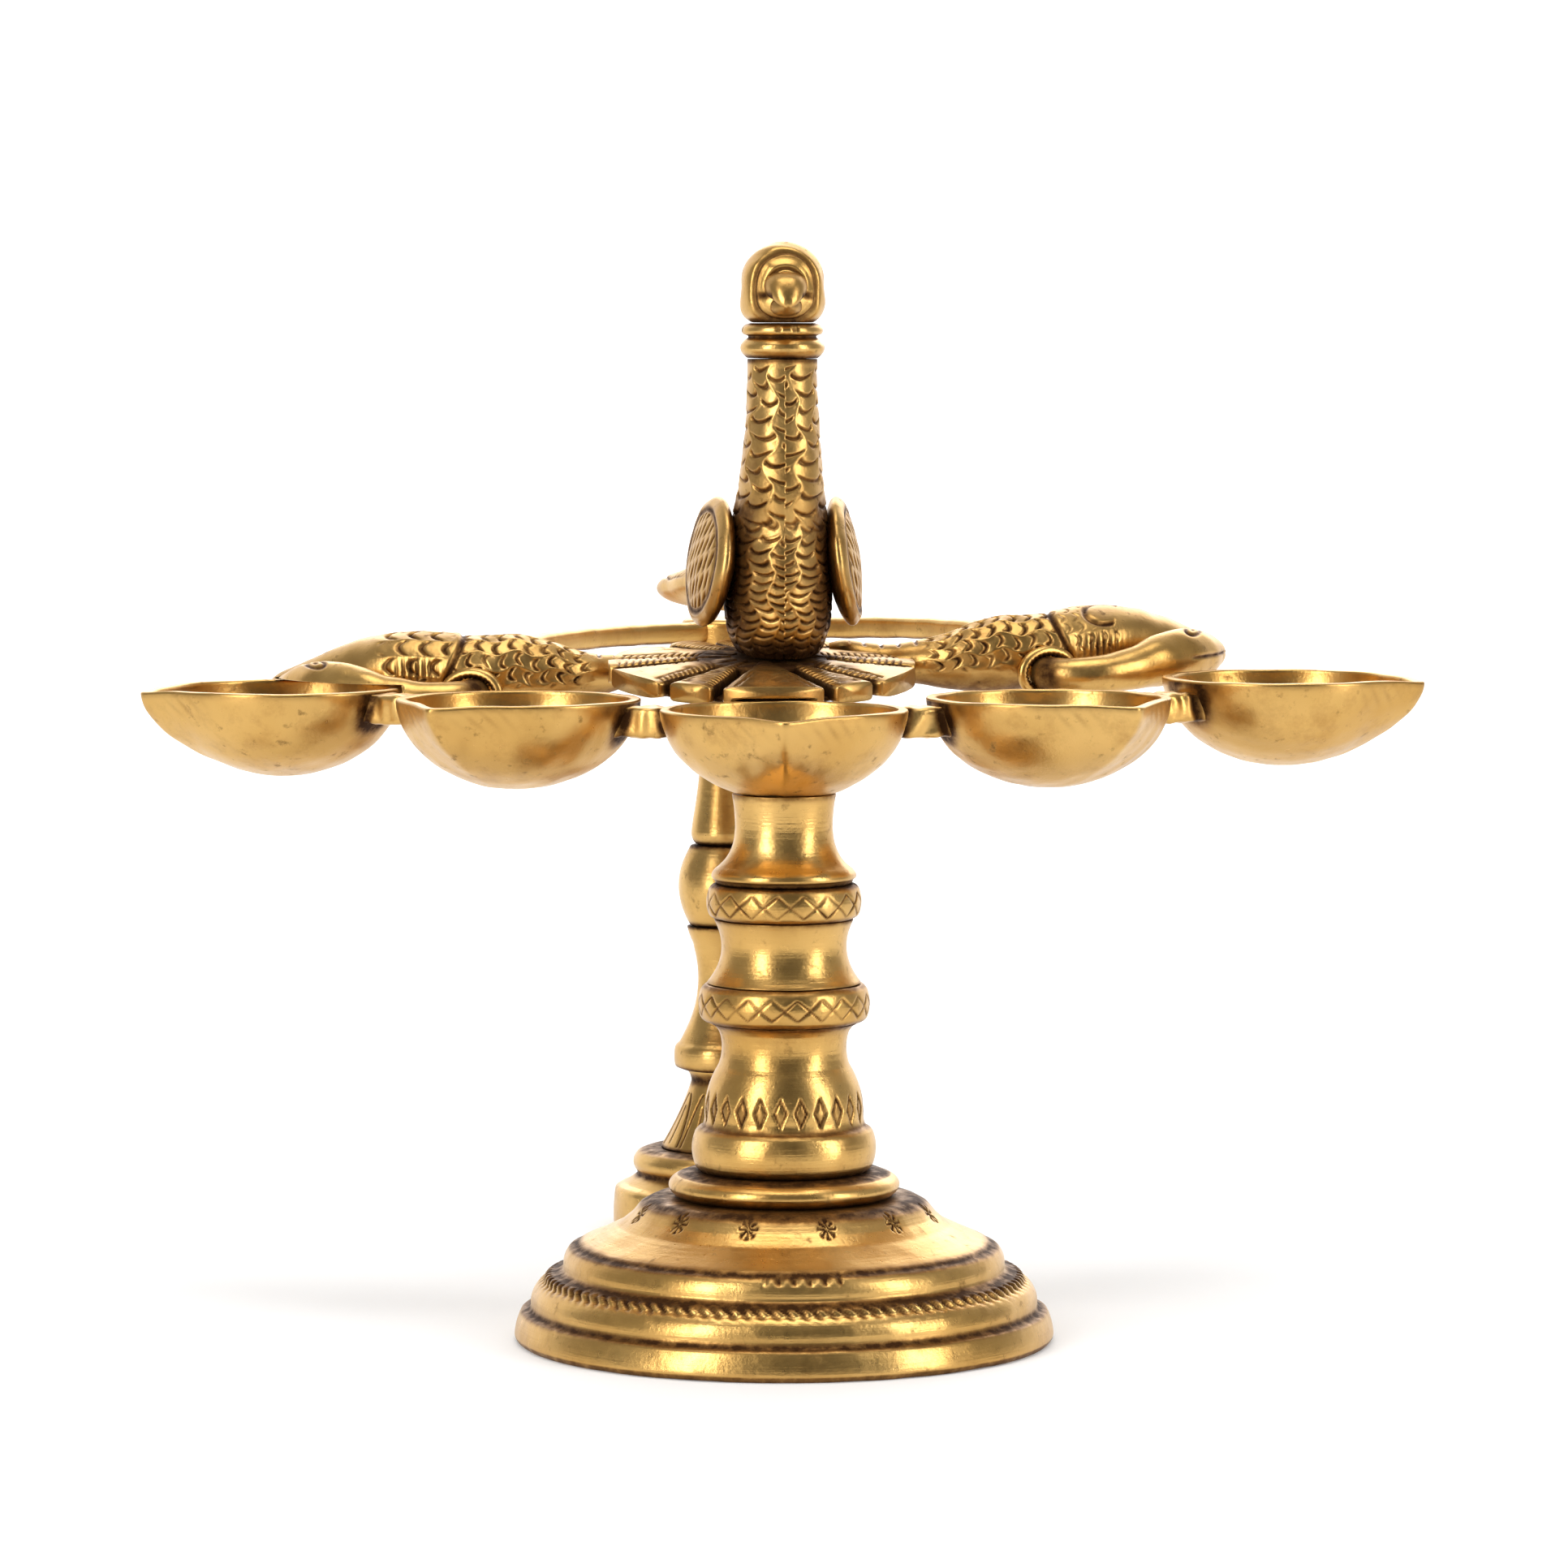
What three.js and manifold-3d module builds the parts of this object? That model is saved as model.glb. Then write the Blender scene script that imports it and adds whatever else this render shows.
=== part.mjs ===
// A brass five-bowl peacock oil lamp that stands on two turned pedestals.
// Millimetres. +Z is up and the bowls face -Y. Pieces are drawn round the front column's axis, with the rear
// pedestal straight behind it, and the lamp is centred at the end. The castings are set by hand: the fan of
// bowls is turned a little to the left, and the bird arms stand higher on the right.
import * as THREE from 'three';
import { mergeVertices } from 'three/addons/utils/BufferGeometryUtils.js';
import Module from 'manifold-3d';

const wasm = await Module();
wasm.setup();

// ---- Driving dimensions ----
const GAP = 0.3; // left between a piece and a neighbour that is cut to fit round it
const SEAM = 0.1; // left between turned pieces that are stacked on a tie rod

const BOWL_RADIUS = 19.2;
const BOWL_DEPTH = 14.4;
const BOWL_WALL = 1.7;
const SPOUT_REACH = 23.6; // from the bowl's centre to the tip of its wick spout
const WICK_DIP = 0.5; // how far the rim drops at the tip of the spout
const RIM_Z = 98;

const LINK_WIDTH = 7;
const LINK_HEIGHT = 5.2;

const HUB_Y = 42; // the lotus plate's centre, behind the front column's axis
const HUB_RADIUS = 24.7;
const HUB_BOTTOM_Z = 99.5;
const HUB_EDGE_THICKNESS = 3.2;
const HUB_RISE = 1; // how much higher the petals are at their roots
const HUB_CORE_RADIUS = 9;
const HUB_TILT = 5.6; // degrees by which the plate slopes down towards the centre bowl
const PETAL_SLOT = 1.5;
// Where the slots lie, in degrees from straight ahead: wide petals alternate with narrow ones.
const PETAL_SLOTS = [-21.5, 21.5, 43.5, 84, 104, 144, 164, 196, 216, 256, 276, 316.5, 338.5];

const REAR_Y = 120; // the rear pedestal's axis
const ROD_RADIUS = 1.9;
const BORE_RADIUS = 2.3;

const FAN_TURN = THREE.MathUtils.degToRad(-4.6); // how far the fan of bowls is turned on the front column

// A bowl at a place in the fan. `turn` is the angle of its wick spout from straight ahead, in degrees, and
// `rise` lifts it.
function bowlAt(x, y, turn, rise) {
  const cos = Math.cos(FAN_TURN);
  const sin = Math.sin(FAN_TURN);
  return {
    x: x * cos - y * sin,
    y: x * sin + y * cos,
    turn: THREE.MathUtils.degToRad(turn) + FAN_TURN,
    rise,
  };
}

const CENTRE_BOWL = bowlAt(0, 0, 0, 0);
const INNER_RIGHT = bowlAt(41.5, 14.5, 35, 0.9);
const INNER_LEFT = bowlAt(-41.5, 14.5, -35, 0.7);
const OUTER_RIGHT = bowlAt(80, 38, 75, 2.6);
const OUTER_LEFT = bowlAt(-80, 38, -75, 1);
const BOWLS = [CENTRE_BOWL, INNER_RIGHT, INNER_LEFT, OUTER_RIGHT, OUTER_LEFT];

// ---- Materials ----
const metal = (color, roughness) => new THREE.MeshStandardMaterial({ color, roughness, metalness: 1 });
const polishedBrass = metal(0xc8963c, 0.3);
const antiqueBrass = metal(0xa87a34, 0.42);
const steel = metal(0x8c8c88, 0.45);

// ---- Shape helpers ----

// Closes a stack of equal rings into one solid. Each ring runs anticlockwise seen from the end of the stack.
function skin(rings) {
  const count = rings[0].length;
  const positions = rings.flat().flatMap((p) => [p.x, p.y, p.z]);
  const faces = [];
  for (let r = 0; r < rings.length - 1; r++) {
    for (let i = 0; i < count; i++) {
      const a = r * count + i;
      const b = r * count + ((i + 1) % count);
      faces.push(a, b, b + count, a, b + count, a + count);
    }
  }
  const cap = (ring, first, flip) => {
    const middle = ring.reduce((sum, p) => sum.add(p), new THREE.Vector3()).divideScalar(count);
    const centre = positions.length / 3;
    positions.push(middle.x, middle.y, middle.z);
    for (let i = 0; i < count; i++) {
      const a = first + i;
      const b = first + ((i + 1) % count);
      faces.push(centre, flip ? b : a, flip ? a : b);
    }
  };
  cap(rings[0], 0, true);
  cap(rings.at(-1), (rings.length - 1) * count, false);
  const geometry = new THREE.BufferGeometry();
  geometry.setAttribute('position', new THREE.Float32BufferAttribute(positions, 3));
  geometry.setIndex(faces);
  return geometry;
}

// A round body made of level ellipses. Each level is { z, x, y, rx, ry }.
function levels(list, segments) {
  const ring = ({ z, x = 0, y = 0, rx, ry }) =>
    Array.from({ length: segments }, (_, i) => {
      const angle = (2 * Math.PI * i) / segments;
      return new THREE.Vector3(x + rx * Math.cos(angle), y + ry * Math.sin(angle), z);
    });
  return skin(list.map(ring));
}

// A body swept along stations { x, y, z, w, h }: its centre line, half width and half height.
// Each section is upright and square to the path, and `flat` squares the section's corners.
function sweep(stations, segments, grow = 0, flat = 1) {
  const centres = stations.map((s) => new THREE.Vector3(s.x, s.y, s.z));
  const soften = (v) => Math.sign(v) * Math.abs(v) ** flat;
  const rings = stations.map((station, k) => {
    const ahead = centres[Math.min(k + 1, centres.length - 1)].clone();
    const along = ahead.sub(centres[Math.max(k - 1, 0)]).setZ(0).normalize();
    const side = new THREE.Vector3(-along.y, along.x, 0);
    const end = k === 0 ? -grow : k === stations.length - 1 ? grow : 0;
    return Array.from({ length: segments }, (_, i) => {
      const angle = (2 * Math.PI * i) / segments;
      return centres[k].clone()
        .addScaledVector(along, end)
        .addScaledVector(side, (station.w + grow) * soften(Math.cos(angle)))
        .add(new THREE.Vector3(0, 0, (station.h + grow) * soften(Math.sin(angle))));
    });
  });
  return skin(rings);
}

// A turned piece. The outline is [radius, z] points, up the outside and then down the inside or the axis.
function turned(outline, segments, y = 0) {
  const closed = outline[0][0] === 0 ? outline : [...outline, outline[0]];
  const geometry = new THREE.LatheGeometry(closed.map(([r, z]) => new THREE.Vector2(r, z)), segments);
  return geometry.rotateX(Math.PI / 2).translate(0, y, 0);
}

// Points of a smooth bow from one [r, z] point to another. `bulge` is how far its middle stands to the
// right of the straight line, so it is outward on an outline that climbs.
function bow([r0, z0], [r1, z1], bulge, steps) {
  const length = Math.hypot(r1 - r0, z1 - z0);
  return Array.from({ length: steps + 1 }, (_, i) => {
    const t = i / steps;
    const lift = (4 * bulge * t * (1 - t)) / length;
    return [r0 + (r1 - r0) * t + (z1 - z0) * lift, z0 + (z1 - z0) * t - (r1 - r0) * lift];
  });
}

function solidOf(geometry) {
  const bare = geometry.clone();
  bare.deleteAttribute('normal');
  bare.deleteAttribute('uv');
  const merged = mergeVertices(bare, 1e-3);
  return new wasm.Manifold(new wasm.Mesh({
    numProp: 3,
    vertProperties: merged.attributes.position.array,
    triVerts: new Uint32Array(merged.index.array),
  }));
}

// The geometry with each tool geometry cut away from it.
function cut(geometry, ...tools) {
  const rest = tools.reduce((solid, tool) => solid.subtract(solidOf(tool)), solidOf(geometry));
  const mesh = rest.getMesh();
  const result = new THREE.BufferGeometry();
  result.setAttribute('position', new THREE.BufferAttribute(new Float32Array(mesh.vertProperties), 3));
  result.setIndex(new THREE.BufferAttribute(new Uint32Array(mesh.triVerts), 1));
  return result;
}

function mirrored(geometry) {
  const copy = geometry.clone().scale(-1, 1, 1);
  const source = copy.index ? copy : mergeVertices(copy);
  const index = source.index.array;
  for (let i = 0; i < index.length; i += 3) [index[i + 1], index[i + 2]] = [index[i + 2], index[i + 1]];
  return source;
}

const lamp = new THREE.Group();

function add(name, geometry, material) {
  const mesh = new THREE.Mesh(geometry, material);
  mesh.name = name;
  lamp.add(mesh);
}

// ---- Bowls and the links between them ----

const BOWL_SEGMENTS = 24;

// One level of a bowl: a circle drawn out to a V at the spout, by the two tangents from the spout's tip.
function bowlRing(bowl, radius, reach, z, dip) {
  const tangentAngle = Math.acos(radius / reach);
  const forward = bowl.turn - Math.PI / 2;
  return Array.from({ length: BOWL_SEGMENTS }, (_, i) => {
    const angle = (2 * Math.PI * i) / BOWL_SEGMENTS;
    const off = Math.min(angle, 2 * Math.PI - angle);
    const r = off < tangentAngle ? radius / Math.cos(tangentAngle - off) : radius;
    const drop = i === 0 ? dip : 0;
    return new THREE.Vector3(
      bowl.x + r * Math.cos(forward + angle),
      bowl.y + r * Math.sin(forward + angle),
      z - drop,
    );
  });
}

// A surface of the bowl as rings from the bottom to the rim, at a distance inside the outer surface.
function bowlSurface(bowl, inset) {
  const steps = [8, 30, 52, 72, 90].map((deg) => THREE.MathUtils.degToRad(deg));
  return steps.map((a) => {
    const radius = (BOWL_RADIUS - inset) * Math.sin(a);
    const spout = 1 + ((SPOUT_REACH / BOWL_RADIUS - 1) * Math.sin(a) ** 3);
    const z = RIM_Z + bowl.rise - (BOWL_DEPTH - inset) * Math.cos(a);
    return bowlRing(bowl, radius, radius * spout, z, a > 1.5 ? WICK_DIP : 0);
  });
}

const bowlGeometry = (bowl) => skin([...bowlSurface(bowl, 0), ...bowlSurface(bowl, BOWL_WALL).reverse()]);

// The bowl's whole outer form, grown by the fitting gap and carried up past its rim, to cut neighbours with.
function bowlPlug(bowl, above = 3) {
  const rim = RIM_Z + bowl.rise;
  const rings = bowlSurface(bowl, -GAP);
  const level = (z) => rings.at(-1).map((p) => p.clone().setZ(z));
  return skin([...rings.slice(0, -1), level(rim), level(rim + above)]);
}

// Cuts away what would touch a bowl or its rim, so a piece can lie on the fan.
const restOnBowls = (geometry) => cut(geometry, ...BOWLS.map((bowl) => bowlPlug(bowl, GAP)));

function linkGeometry(a, b) {
  const length = Math.hypot(b.x - a.x, b.y - a.y) - 2 * BOWL_RADIUS + 3;
  const top = RIM_Z + Math.min(a.rise, b.rise);
  const block = new THREE.BoxGeometry(length, LINK_WIDTH, LINK_HEIGHT);
  block.rotateZ(Math.atan2(b.y - a.y, b.x - a.x));
  block.translate((a.x + b.x) / 2, (a.y + b.y) / 2, top - LINK_HEIGHT / 2);
  return cut(block, bowlPlug(a), bowlPlug(b));
}

add('bowl_centre', bowlGeometry(CENTRE_BOWL), polishedBrass);
add('bowl_inner_right', bowlGeometry(INNER_RIGHT), polishedBrass);
add('bowl_inner_left', bowlGeometry(INNER_LEFT), polishedBrass);
add('bowl_outer_right', bowlGeometry(OUTER_RIGHT), polishedBrass);
add('bowl_outer_left', bowlGeometry(OUTER_LEFT), polishedBrass);
add('link_inner_right', linkGeometry(CENTRE_BOWL, INNER_RIGHT), polishedBrass);
add('link_inner_left', linkGeometry(CENTRE_BOWL, INNER_LEFT), polishedBrass);
add('link_outer_right', linkGeometry(INNER_RIGHT, OUTER_RIGHT), polishedBrass);
add('link_outer_left', linkGeometry(INNER_LEFT, OUTER_LEFT), polishedBrass);

// ---- Front pedestal, under the centre bowl ----

const COLUMN_SEGMENTS = 20;
const BASE_SEGMENTS = 32;

// Adds a turned piece with a bore for the tie rod between its lowest and highest points.
function addBored(name, outside, segments, y) {
  const bottom = outside[0][1];
  const top = outside.at(-1)[1];
  add(name, turned([...outside, [BORE_RADIUS, top], [BORE_RADIUS, bottom]], segments, y), polishedBrass);
}

const FRONT_BASE_TOP = 22.3;
const FRONT_BASE_ROOF = 18.6; // the ceiling of the hollow under the base
add('front_base', turned([
  [41.3, 0], ...bow([41.9, 0.8], [40.9, 4.6], 0.2, 2), [39.6, 5],
  ...bow([39.3, 5.6], [38, 9], 0.5, 2), [36.6, 10.4], [35.7, 10.6],
  ...bow([34.3, 11.1], [33.3, 14.4], 0.4, 2), [32.2, 14.8],
  [31.8, 15.2], [28.8, 16.5], [25.6, 18], [23.6, 19.6], [22.3, 21.2], [20.6, 22.1], [18.6, FRONT_BASE_TOP],
  [BORE_RADIUS, FRONT_BASE_TOP], [BORE_RADIUS, FRONT_BASE_ROOF],
  [19, FRONT_BASE_ROOF], [30, 12.4], [37.2, 3], [38.3, 0],
], BASE_SEGMENTS), polishedBrass);

const STACK = { collar: 22.4, lower: 26.4, lowerRing: 49.5, middle: 55.5, upperRing: 65.6, neck: 71 };
addBored('front_base_collar', [
  [16.6, STACK.collar], ...bow([17.4, 23], [17, 25.4], 0.7, 3), [14.4, STACK.lower - SEAM],
], COLUMN_SEGMENTS);
addBored('front_column_lower', [
  [13.1, STACK.lower], ...bow([13.8, 27.2], [13.7, 32.6], 0.5, 2), [12.5, 33.5],
  ...bow([12.3, 34.4], [10.1, 42.9], 0.7, 3), [9.6, 45.4], [10.1, 48], [11.6, STACK.lowerRing - SEAM],
], COLUMN_SEGMENTS);
addBored('front_ring_lower', [
  [11.9, STACK.lowerRing], ...bow([12.9, 50.2], [12.9, 54.6], 0.4, 2), [12.2, STACK.middle - SEAM],
], COLUMN_SEGMENTS);
const middleOutline = bow([12, STACK.middle], [10.9, STACK.upperRing - SEAM], -1.7, 5);
addBored('front_column_middle', middleOutline, COLUMN_SEGMENTS);
addBored('front_ring_upper', [
  [10.9, STACK.upperRing], ...bow([11.7, 66.3], [11.7, 70], 0.3, 2), [11, STACK.neck - SEAM],
], COLUMN_SEGMENTS);

// The neck's top is dished to seat the round underside of the centre bowl. Its bore is blind.
const NECK_TOP_RADIUS = 8.1;
const NECK_BORE_TOP = 79;
const seatZ = (r) => RIM_Z - (BOWL_DEPTH + 2 * SEAM) / BOWL_RADIUS * Math.sqrt(BOWL_RADIUS ** 2 - r ** 2);
const seat = [1, 0.66, 0.33, 0].map((share) => [NECK_TOP_RADIUS * share, seatZ(NECK_TOP_RADIUS * share)]);
add('front_column_neck', turned([
  [0, NECK_BORE_TOP], [BORE_RADIUS, NECK_BORE_TOP], [BORE_RADIUS, STACK.neck],
  [10.9, STACK.neck], [11.3, 72.1], ...bow([10.7, 73.2], [7.6, 79], -0.8, 3), ...seat,
], COLUMN_SEGMENTS), polishedBrass);

// ---- Rear pedestal ----

const REAR_SEGMENTS = 16;
const REAR_BASE_ROOF = 10;
const REAR = { bell: 13.5, spindle: 27.2, barrel: 52.2, upper: 66.3, junction: 100.4 };
add('rear_base', turned([
  [19.2, 0], ...bow([19.5, 0.6], [19.2, 6.4], 0.2, 2), [17.4, 7.6], [15.3, 8.8],
  ...bow([15.3, 9.4], [15.1, 12.8], 0.8, 3), [13.4, REAR.bell - SEAM],
  [BORE_RADIUS, REAR.bell - SEAM], [BORE_RADIUS, REAR_BASE_ROOF],
  [12.4, REAR_BASE_ROOF], [15.6, 4], [16.4, 0],
], 24, REAR_Y), polishedBrass);
addBored('rear_bell', [
  ...bow([11.2, REAR.bell], [5.8, 25.2], -0.4, 3), [6.6, REAR.spindle - SEAM],
], REAR_SEGMENTS, REAR_Y);
addBored('rear_spindle', [
  [7.9, REAR.spindle], [8.8, 27.8], [8.8, 31], [7.9, 31.8],
  ...bow([6.9, 33.8], [5.4, 48.4], -1.4, 4), [6.6, REAR.barrel - SEAM],
], REAR_SEGMENTS, REAR_Y);
addBored('rear_barrel', bow([6, REAR.barrel], [5.9, REAR.upper - SEAM], 2.1, 5), REAR_SEGMENTS, REAR_Y);
addBored('rear_upper_stem', [
  [5, REAR.upper], [5.8, 67.5], ...bow([5.8, 69.1], [4, 92], -0.6, 4),
  [4.4, 96], [6.2, REAR.junction - SEAM],
], REAR_SEGMENTS, REAR_Y);

// The junction block closes the rear column and takes both arms. Its bore is blind.
const JUNCTION_RADIUS = 7.5;
const JUNCTION_TOP = 105.6;
const JUNCTION_BORE_TOP = 103.4;
const junctionGeometry = (grow) => turned([
  [0, REAR.junction - grow], [JUNCTION_RADIUS + grow, REAR.junction - grow],
  [JUNCTION_RADIUS + grow, JUNCTION_TOP - 1 + grow], [JUNCTION_RADIUS - 1 + grow, JUNCTION_TOP + grow],
  [0, JUNCTION_TOP + grow],
], REAR_SEGMENTS, REAR_Y);
const junctionBore = turned([
  [0, REAR.junction - 1], [BORE_RADIUS, REAR.junction - 1],
  [BORE_RADIUS, JUNCTION_BORE_TOP], [0, JUNCTION_BORE_TOP],
], REAR_SEGMENTS, REAR_Y);
add('rear_junction', cut(junctionGeometry(0), junctionBore), polishedBrass);

// ---- Tie rods, washers and nuts inside the pedestals ----

const WASHER_RADIUS = 5.4;
const WASHER_THICKNESS = 1.1;
const NUT_RADIUS = 4.2;
const NUT_HEIGHT = 3.2;

// A rod up a pedestal, held under the base's roof by a washer and a hexagon nut.
function addTieRod(end, roof, rodTop, y) {
  const washerTop = roof - SEAM;
  const nutTop = washerTop - WASHER_THICKNESS - SEAM;
  const rodBottom = nutTop - NUT_HEIGHT - 1;
  const ring = (radius, bottom, top, segments) => turned([
    [radius, bottom], [radius, top], [BORE_RADIUS, top], [BORE_RADIUS, bottom],
  ], segments, y);
  add(`${end}_tie_rod`, turned([
    [0, rodBottom], [ROD_RADIUS, rodBottom], [ROD_RADIUS, rodTop], [0, rodTop],
  ], 12, y), steel);
  add(`${end}_washer`, ring(WASHER_RADIUS, washerTop - WASHER_THICKNESS, washerTop, 16), steel);
  add(`${end}_nut`, ring(NUT_RADIUS, nutTop - NUT_HEIGHT, nutTop, 6), steel);
}

addTieRod('front', FRONT_BASE_ROOF, NECK_BORE_TOP - GAP, 0);
addTieRod('rear', REAR_BASE_ROOF, JUNCTION_BORE_TOP - GAP, REAR_Y);

// ---- Lotus plate and the lug that carries its front edge ----

// Tilts a geometry about the plate's centre, so that its front is lower.
function tilted(geometry) {
  geometry.translate(0, -HUB_Y, -HUB_BOTTOM_Z).rotateX(THREE.MathUtils.degToRad(HUB_TILT));
  return geometry.translate(0, HUB_Y, HUB_BOTTOM_Z);
}

// A disc of petals, parted by slots, whose top slopes down from the core to the rim.
function lotusGeometry() {
  const corner = (radius, slot, side) => {
    const angle = THREE.MathUtils.degToRad(slot - 90) + side * (PETAL_SLOT / 2 / radius);
    return new THREE.Vector2(radius * Math.cos(angle), radius * Math.sin(angle));
  };
  const outline = [];
  PETAL_SLOTS.slice(0, -1).forEach((slot, k) => {
    const next = PETAL_SLOTS[k + 1];
    outline.push(corner(HUB_CORE_RADIUS, slot, 1), corner(HUB_RADIUS - 0.5, slot, 1));
    for (const share of [0.25, 0.5, 0.75]) outline.push(corner(HUB_RADIUS, slot + (next - slot) * share, 0));
    outline.push(corner(HUB_RADIUS - 0.5, next, -1), corner(HUB_CORE_RADIUS, next, -1));
  });
  const shape = new THREE.Shape(outline);
  const plate = new THREE.ExtrudeGeometry(shape, { depth: HUB_EDGE_THICKNESS, bevelEnabled: false });
  const position = plate.getAttribute('position');
  for (let i = 0; i < position.count; i++) {
    const onTop = position.getZ(i) > HUB_EDGE_THICKNESS / 2;
    const isRoot = Math.hypot(position.getX(i), position.getY(i)) < HUB_CORE_RADIUS + 1;
    if (onTop && isRoot) position.setZ(i, HUB_EDGE_THICKNESS + HUB_RISE);
  }
  return tilted(plate.translate(0, HUB_Y, HUB_BOTTOM_Z));
}

// The plate without its slots, grown by the fitting gap, to cut neighbours with.
function lotusBlank() {
  const edgeTop = HUB_BOTTOM_Z + HUB_EDGE_THICKNESS + GAP;
  return tilted(turned([
    [0, HUB_BOTTOM_Z - GAP], [HUB_RADIUS + GAP, HUB_BOTTOM_Z - GAP],
    [HUB_RADIUS + GAP, edgeTop], [HUB_CORE_RADIUS, edgeTop + HUB_RISE], [0, edgeTop + HUB_RISE],
  ], 32, HUB_Y));
}

const LUG_HEIGHT = 5.6;
const LUG_TOP = HUB_BOTTOM_Z - SEAM;
const lug = tilted(new THREE.BoxGeometry(10, 13, LUG_HEIGHT).translate(0, 23, LUG_TOP - LUG_HEIGHT / 2));
add('lotus_plate', restOnBowls(lotusGeometry()), antiqueBrass);
add('lotus_lug', cut(lug, bowlPlug(CENTRE_BOWL)), antiqueBrass);

// ---- Peacock ----

const COLLAR_Z = 151.4;
const HEAD_BOTTOM_Z = 157.1;
const NECK_Y = HUB_Y - 5;
const PEACOCK_X = 2.9; // the bird stands a little to the right of the plate's centre

// The body and neck as level ellipses, from below the feet up to the collar.
function peacockBody(grow) {
  const outline = [
    { z: 102.4, rx: 5.4, ry: 7.6, y: 1.6 },
    { z: 104.6, rx: 7, ry: 10, y: 2.3 },
    { z: 107.5, rx: 8.2, ry: 12.8, y: 3 },
    { z: 112, rx: 8.8, ry: 15, y: 4 },
    { z: 118, rx: 8.8, ry: 15.5, y: 4 },
    { z: 124, rx: 8.1, ry: 13, y: 2 },
    { z: 129.5, rx: 7.2, ry: 9.6, y: -2 },
    { z: 136, rx: 6.4, ry: 7.2, y: -4.4 },
    { z: 143, rx: 5.7, ry: 6.2, y: -5 },
    { z: COLLAR_Z - SEAM, rx: 5.6, ry: 5.7, y: -5 },
  ];
  const placed = ({ z, rx, ry, y }) => ({ z, x: PEACOCK_X, y: HUB_Y + y, rx: rx + grow, ry: ry + grow });
  return levels(outline.map(placed), 16);
}

// The long train, rounded at its tip, that runs back level over the rear arms.
function peacockTail(grow) {
  return sweep([
    { x: PEACOCK_X, y: 52, z: 117.2, w: 5, h: 5.6 },
    { x: PEACOCK_X, y: 64, z: 116, w: 7.6, h: 5.6 },
    { x: 2, y: 76, z: 114.4, w: 10.8, h: 5.2 },
    { x: 1, y: 88, z: 112.8, w: 13.6, h: 4.6 },
    { x: 0.5, y: 96, z: 111.9, w: 14.2, h: 4.2 },
    { x: 0.5, y: 101, z: 111.5, w: 12, h: 3.4 },
    { x: 0.5, y: 104, z: 111.3, w: 7, h: 2 },
  ], 16, grow);
}

// A folded wing on the shoulder: a thick oval leaf that leans in at its top and stands off at its rear.
function peacockWing() {
  const wing = new THREE.SphereGeometry(1, 14, 9).scale(2.9, 12.2, 10.6);
  wing.rotateY(THREE.MathUtils.degToRad(-8));
  wing.rotateZ(THREE.MathUtils.degToRad(-9));
  return wing.translate(10.9, HUB_Y + 4.5, 118.6);
}

// The hooded head, full below as a hood is, and cut level where it sits on the collar.
function peacockHead(grow) {
  const head = new THREE.SphereGeometry(1, 16, 10).rotateX(Math.PI / 2);
  const position = head.getAttribute('position');
  for (let i = 0; i < position.count; i++) {
    const low = Math.min(position.getZ(i), 0);
    const full = (1 + low * low) ** 0.65;
    position.setXY(i, position.getX(i) * full, position.getY(i) * full);
  }
  head.scale(6.8 + grow, 7.2 + grow, 7 + grow);
  head.translate(PEACOCK_X, NECK_Y - 0.8, 163.1);
  const below = new THREE.BoxGeometry(40, 40, 20).translate(0, NECK_Y, HEAD_BOTTOM_Z - 10 - grow);
  return cut(head, below);
}

const beakGeometry = levels([
  { z: 0, rx: 3.7, ry: 3.3 },
  { z: 2.6, rx: 3.3, ry: 2.8, y: -0.3 },
  { z: 5, rx: 2.4, ry: 2.2, y: -0.9 },
  { z: 6.6, rx: 1, ry: 1.1, y: -1.6 },
], 12).rotateX(Math.PI / 2).translate(PEACOCK_X, NECK_Y - 4.6, 162);

add('peacock_body', cut(peacockBody(0), lotusBlank()), antiqueBrass);
add('peacock_tail', cut(peacockTail(0), peacockBody(GAP)), polishedBrass);
for (const [side, wing] of [['right', peacockWing()], ['left', mirrored(peacockWing())]]) {
  wing.translate(PEACOCK_X, 0, 0);
  add(`peacock_wing_${side}`, cut(wing, peacockBody(GAP), peacockTail(GAP)), antiqueBrass);
}
add('peacock_collar', turned([
  [0, COLLAR_Z], [5.7, COLLAR_Z], ...bow([6.2, 151.9], [6.2, 154.5], 0.6, 2), [5.8, 154.9],
  [6.4, 155.2], [6.5, 156.4], [6, HEAD_BOTTOM_Z - SEAM], [0, HEAD_BOTTOM_Z - SEAM],
], 20, NECK_Y).translate(PEACOCK_X, 0, 0), polishedBrass);
add('peacock_head', peacockHead(0), polishedBrass);
add('peacock_beak', cut(beakGeometry, peacockHead(GAP)), polishedBrass);

// ---- Side birds, and the arms that run back to the rear pedestal ----

const BIRD_ROLL = 0.033; // how fast the arms and birds climb towards the right
const BIRD_DROP = 1.9; // how far the birds lie below the level of their stations

// Raises a geometry on the right and lowers it on the left, as the casting is set.
function rolled(geometry, drop) {
  const position = geometry.getAttribute('position');
  for (let i = 0; i < position.count; i++) {
    position.setZ(i, position.getZ(i) + BIRD_ROLL * position.getX(i) - drop);
  }
  return geometry;
}

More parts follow.
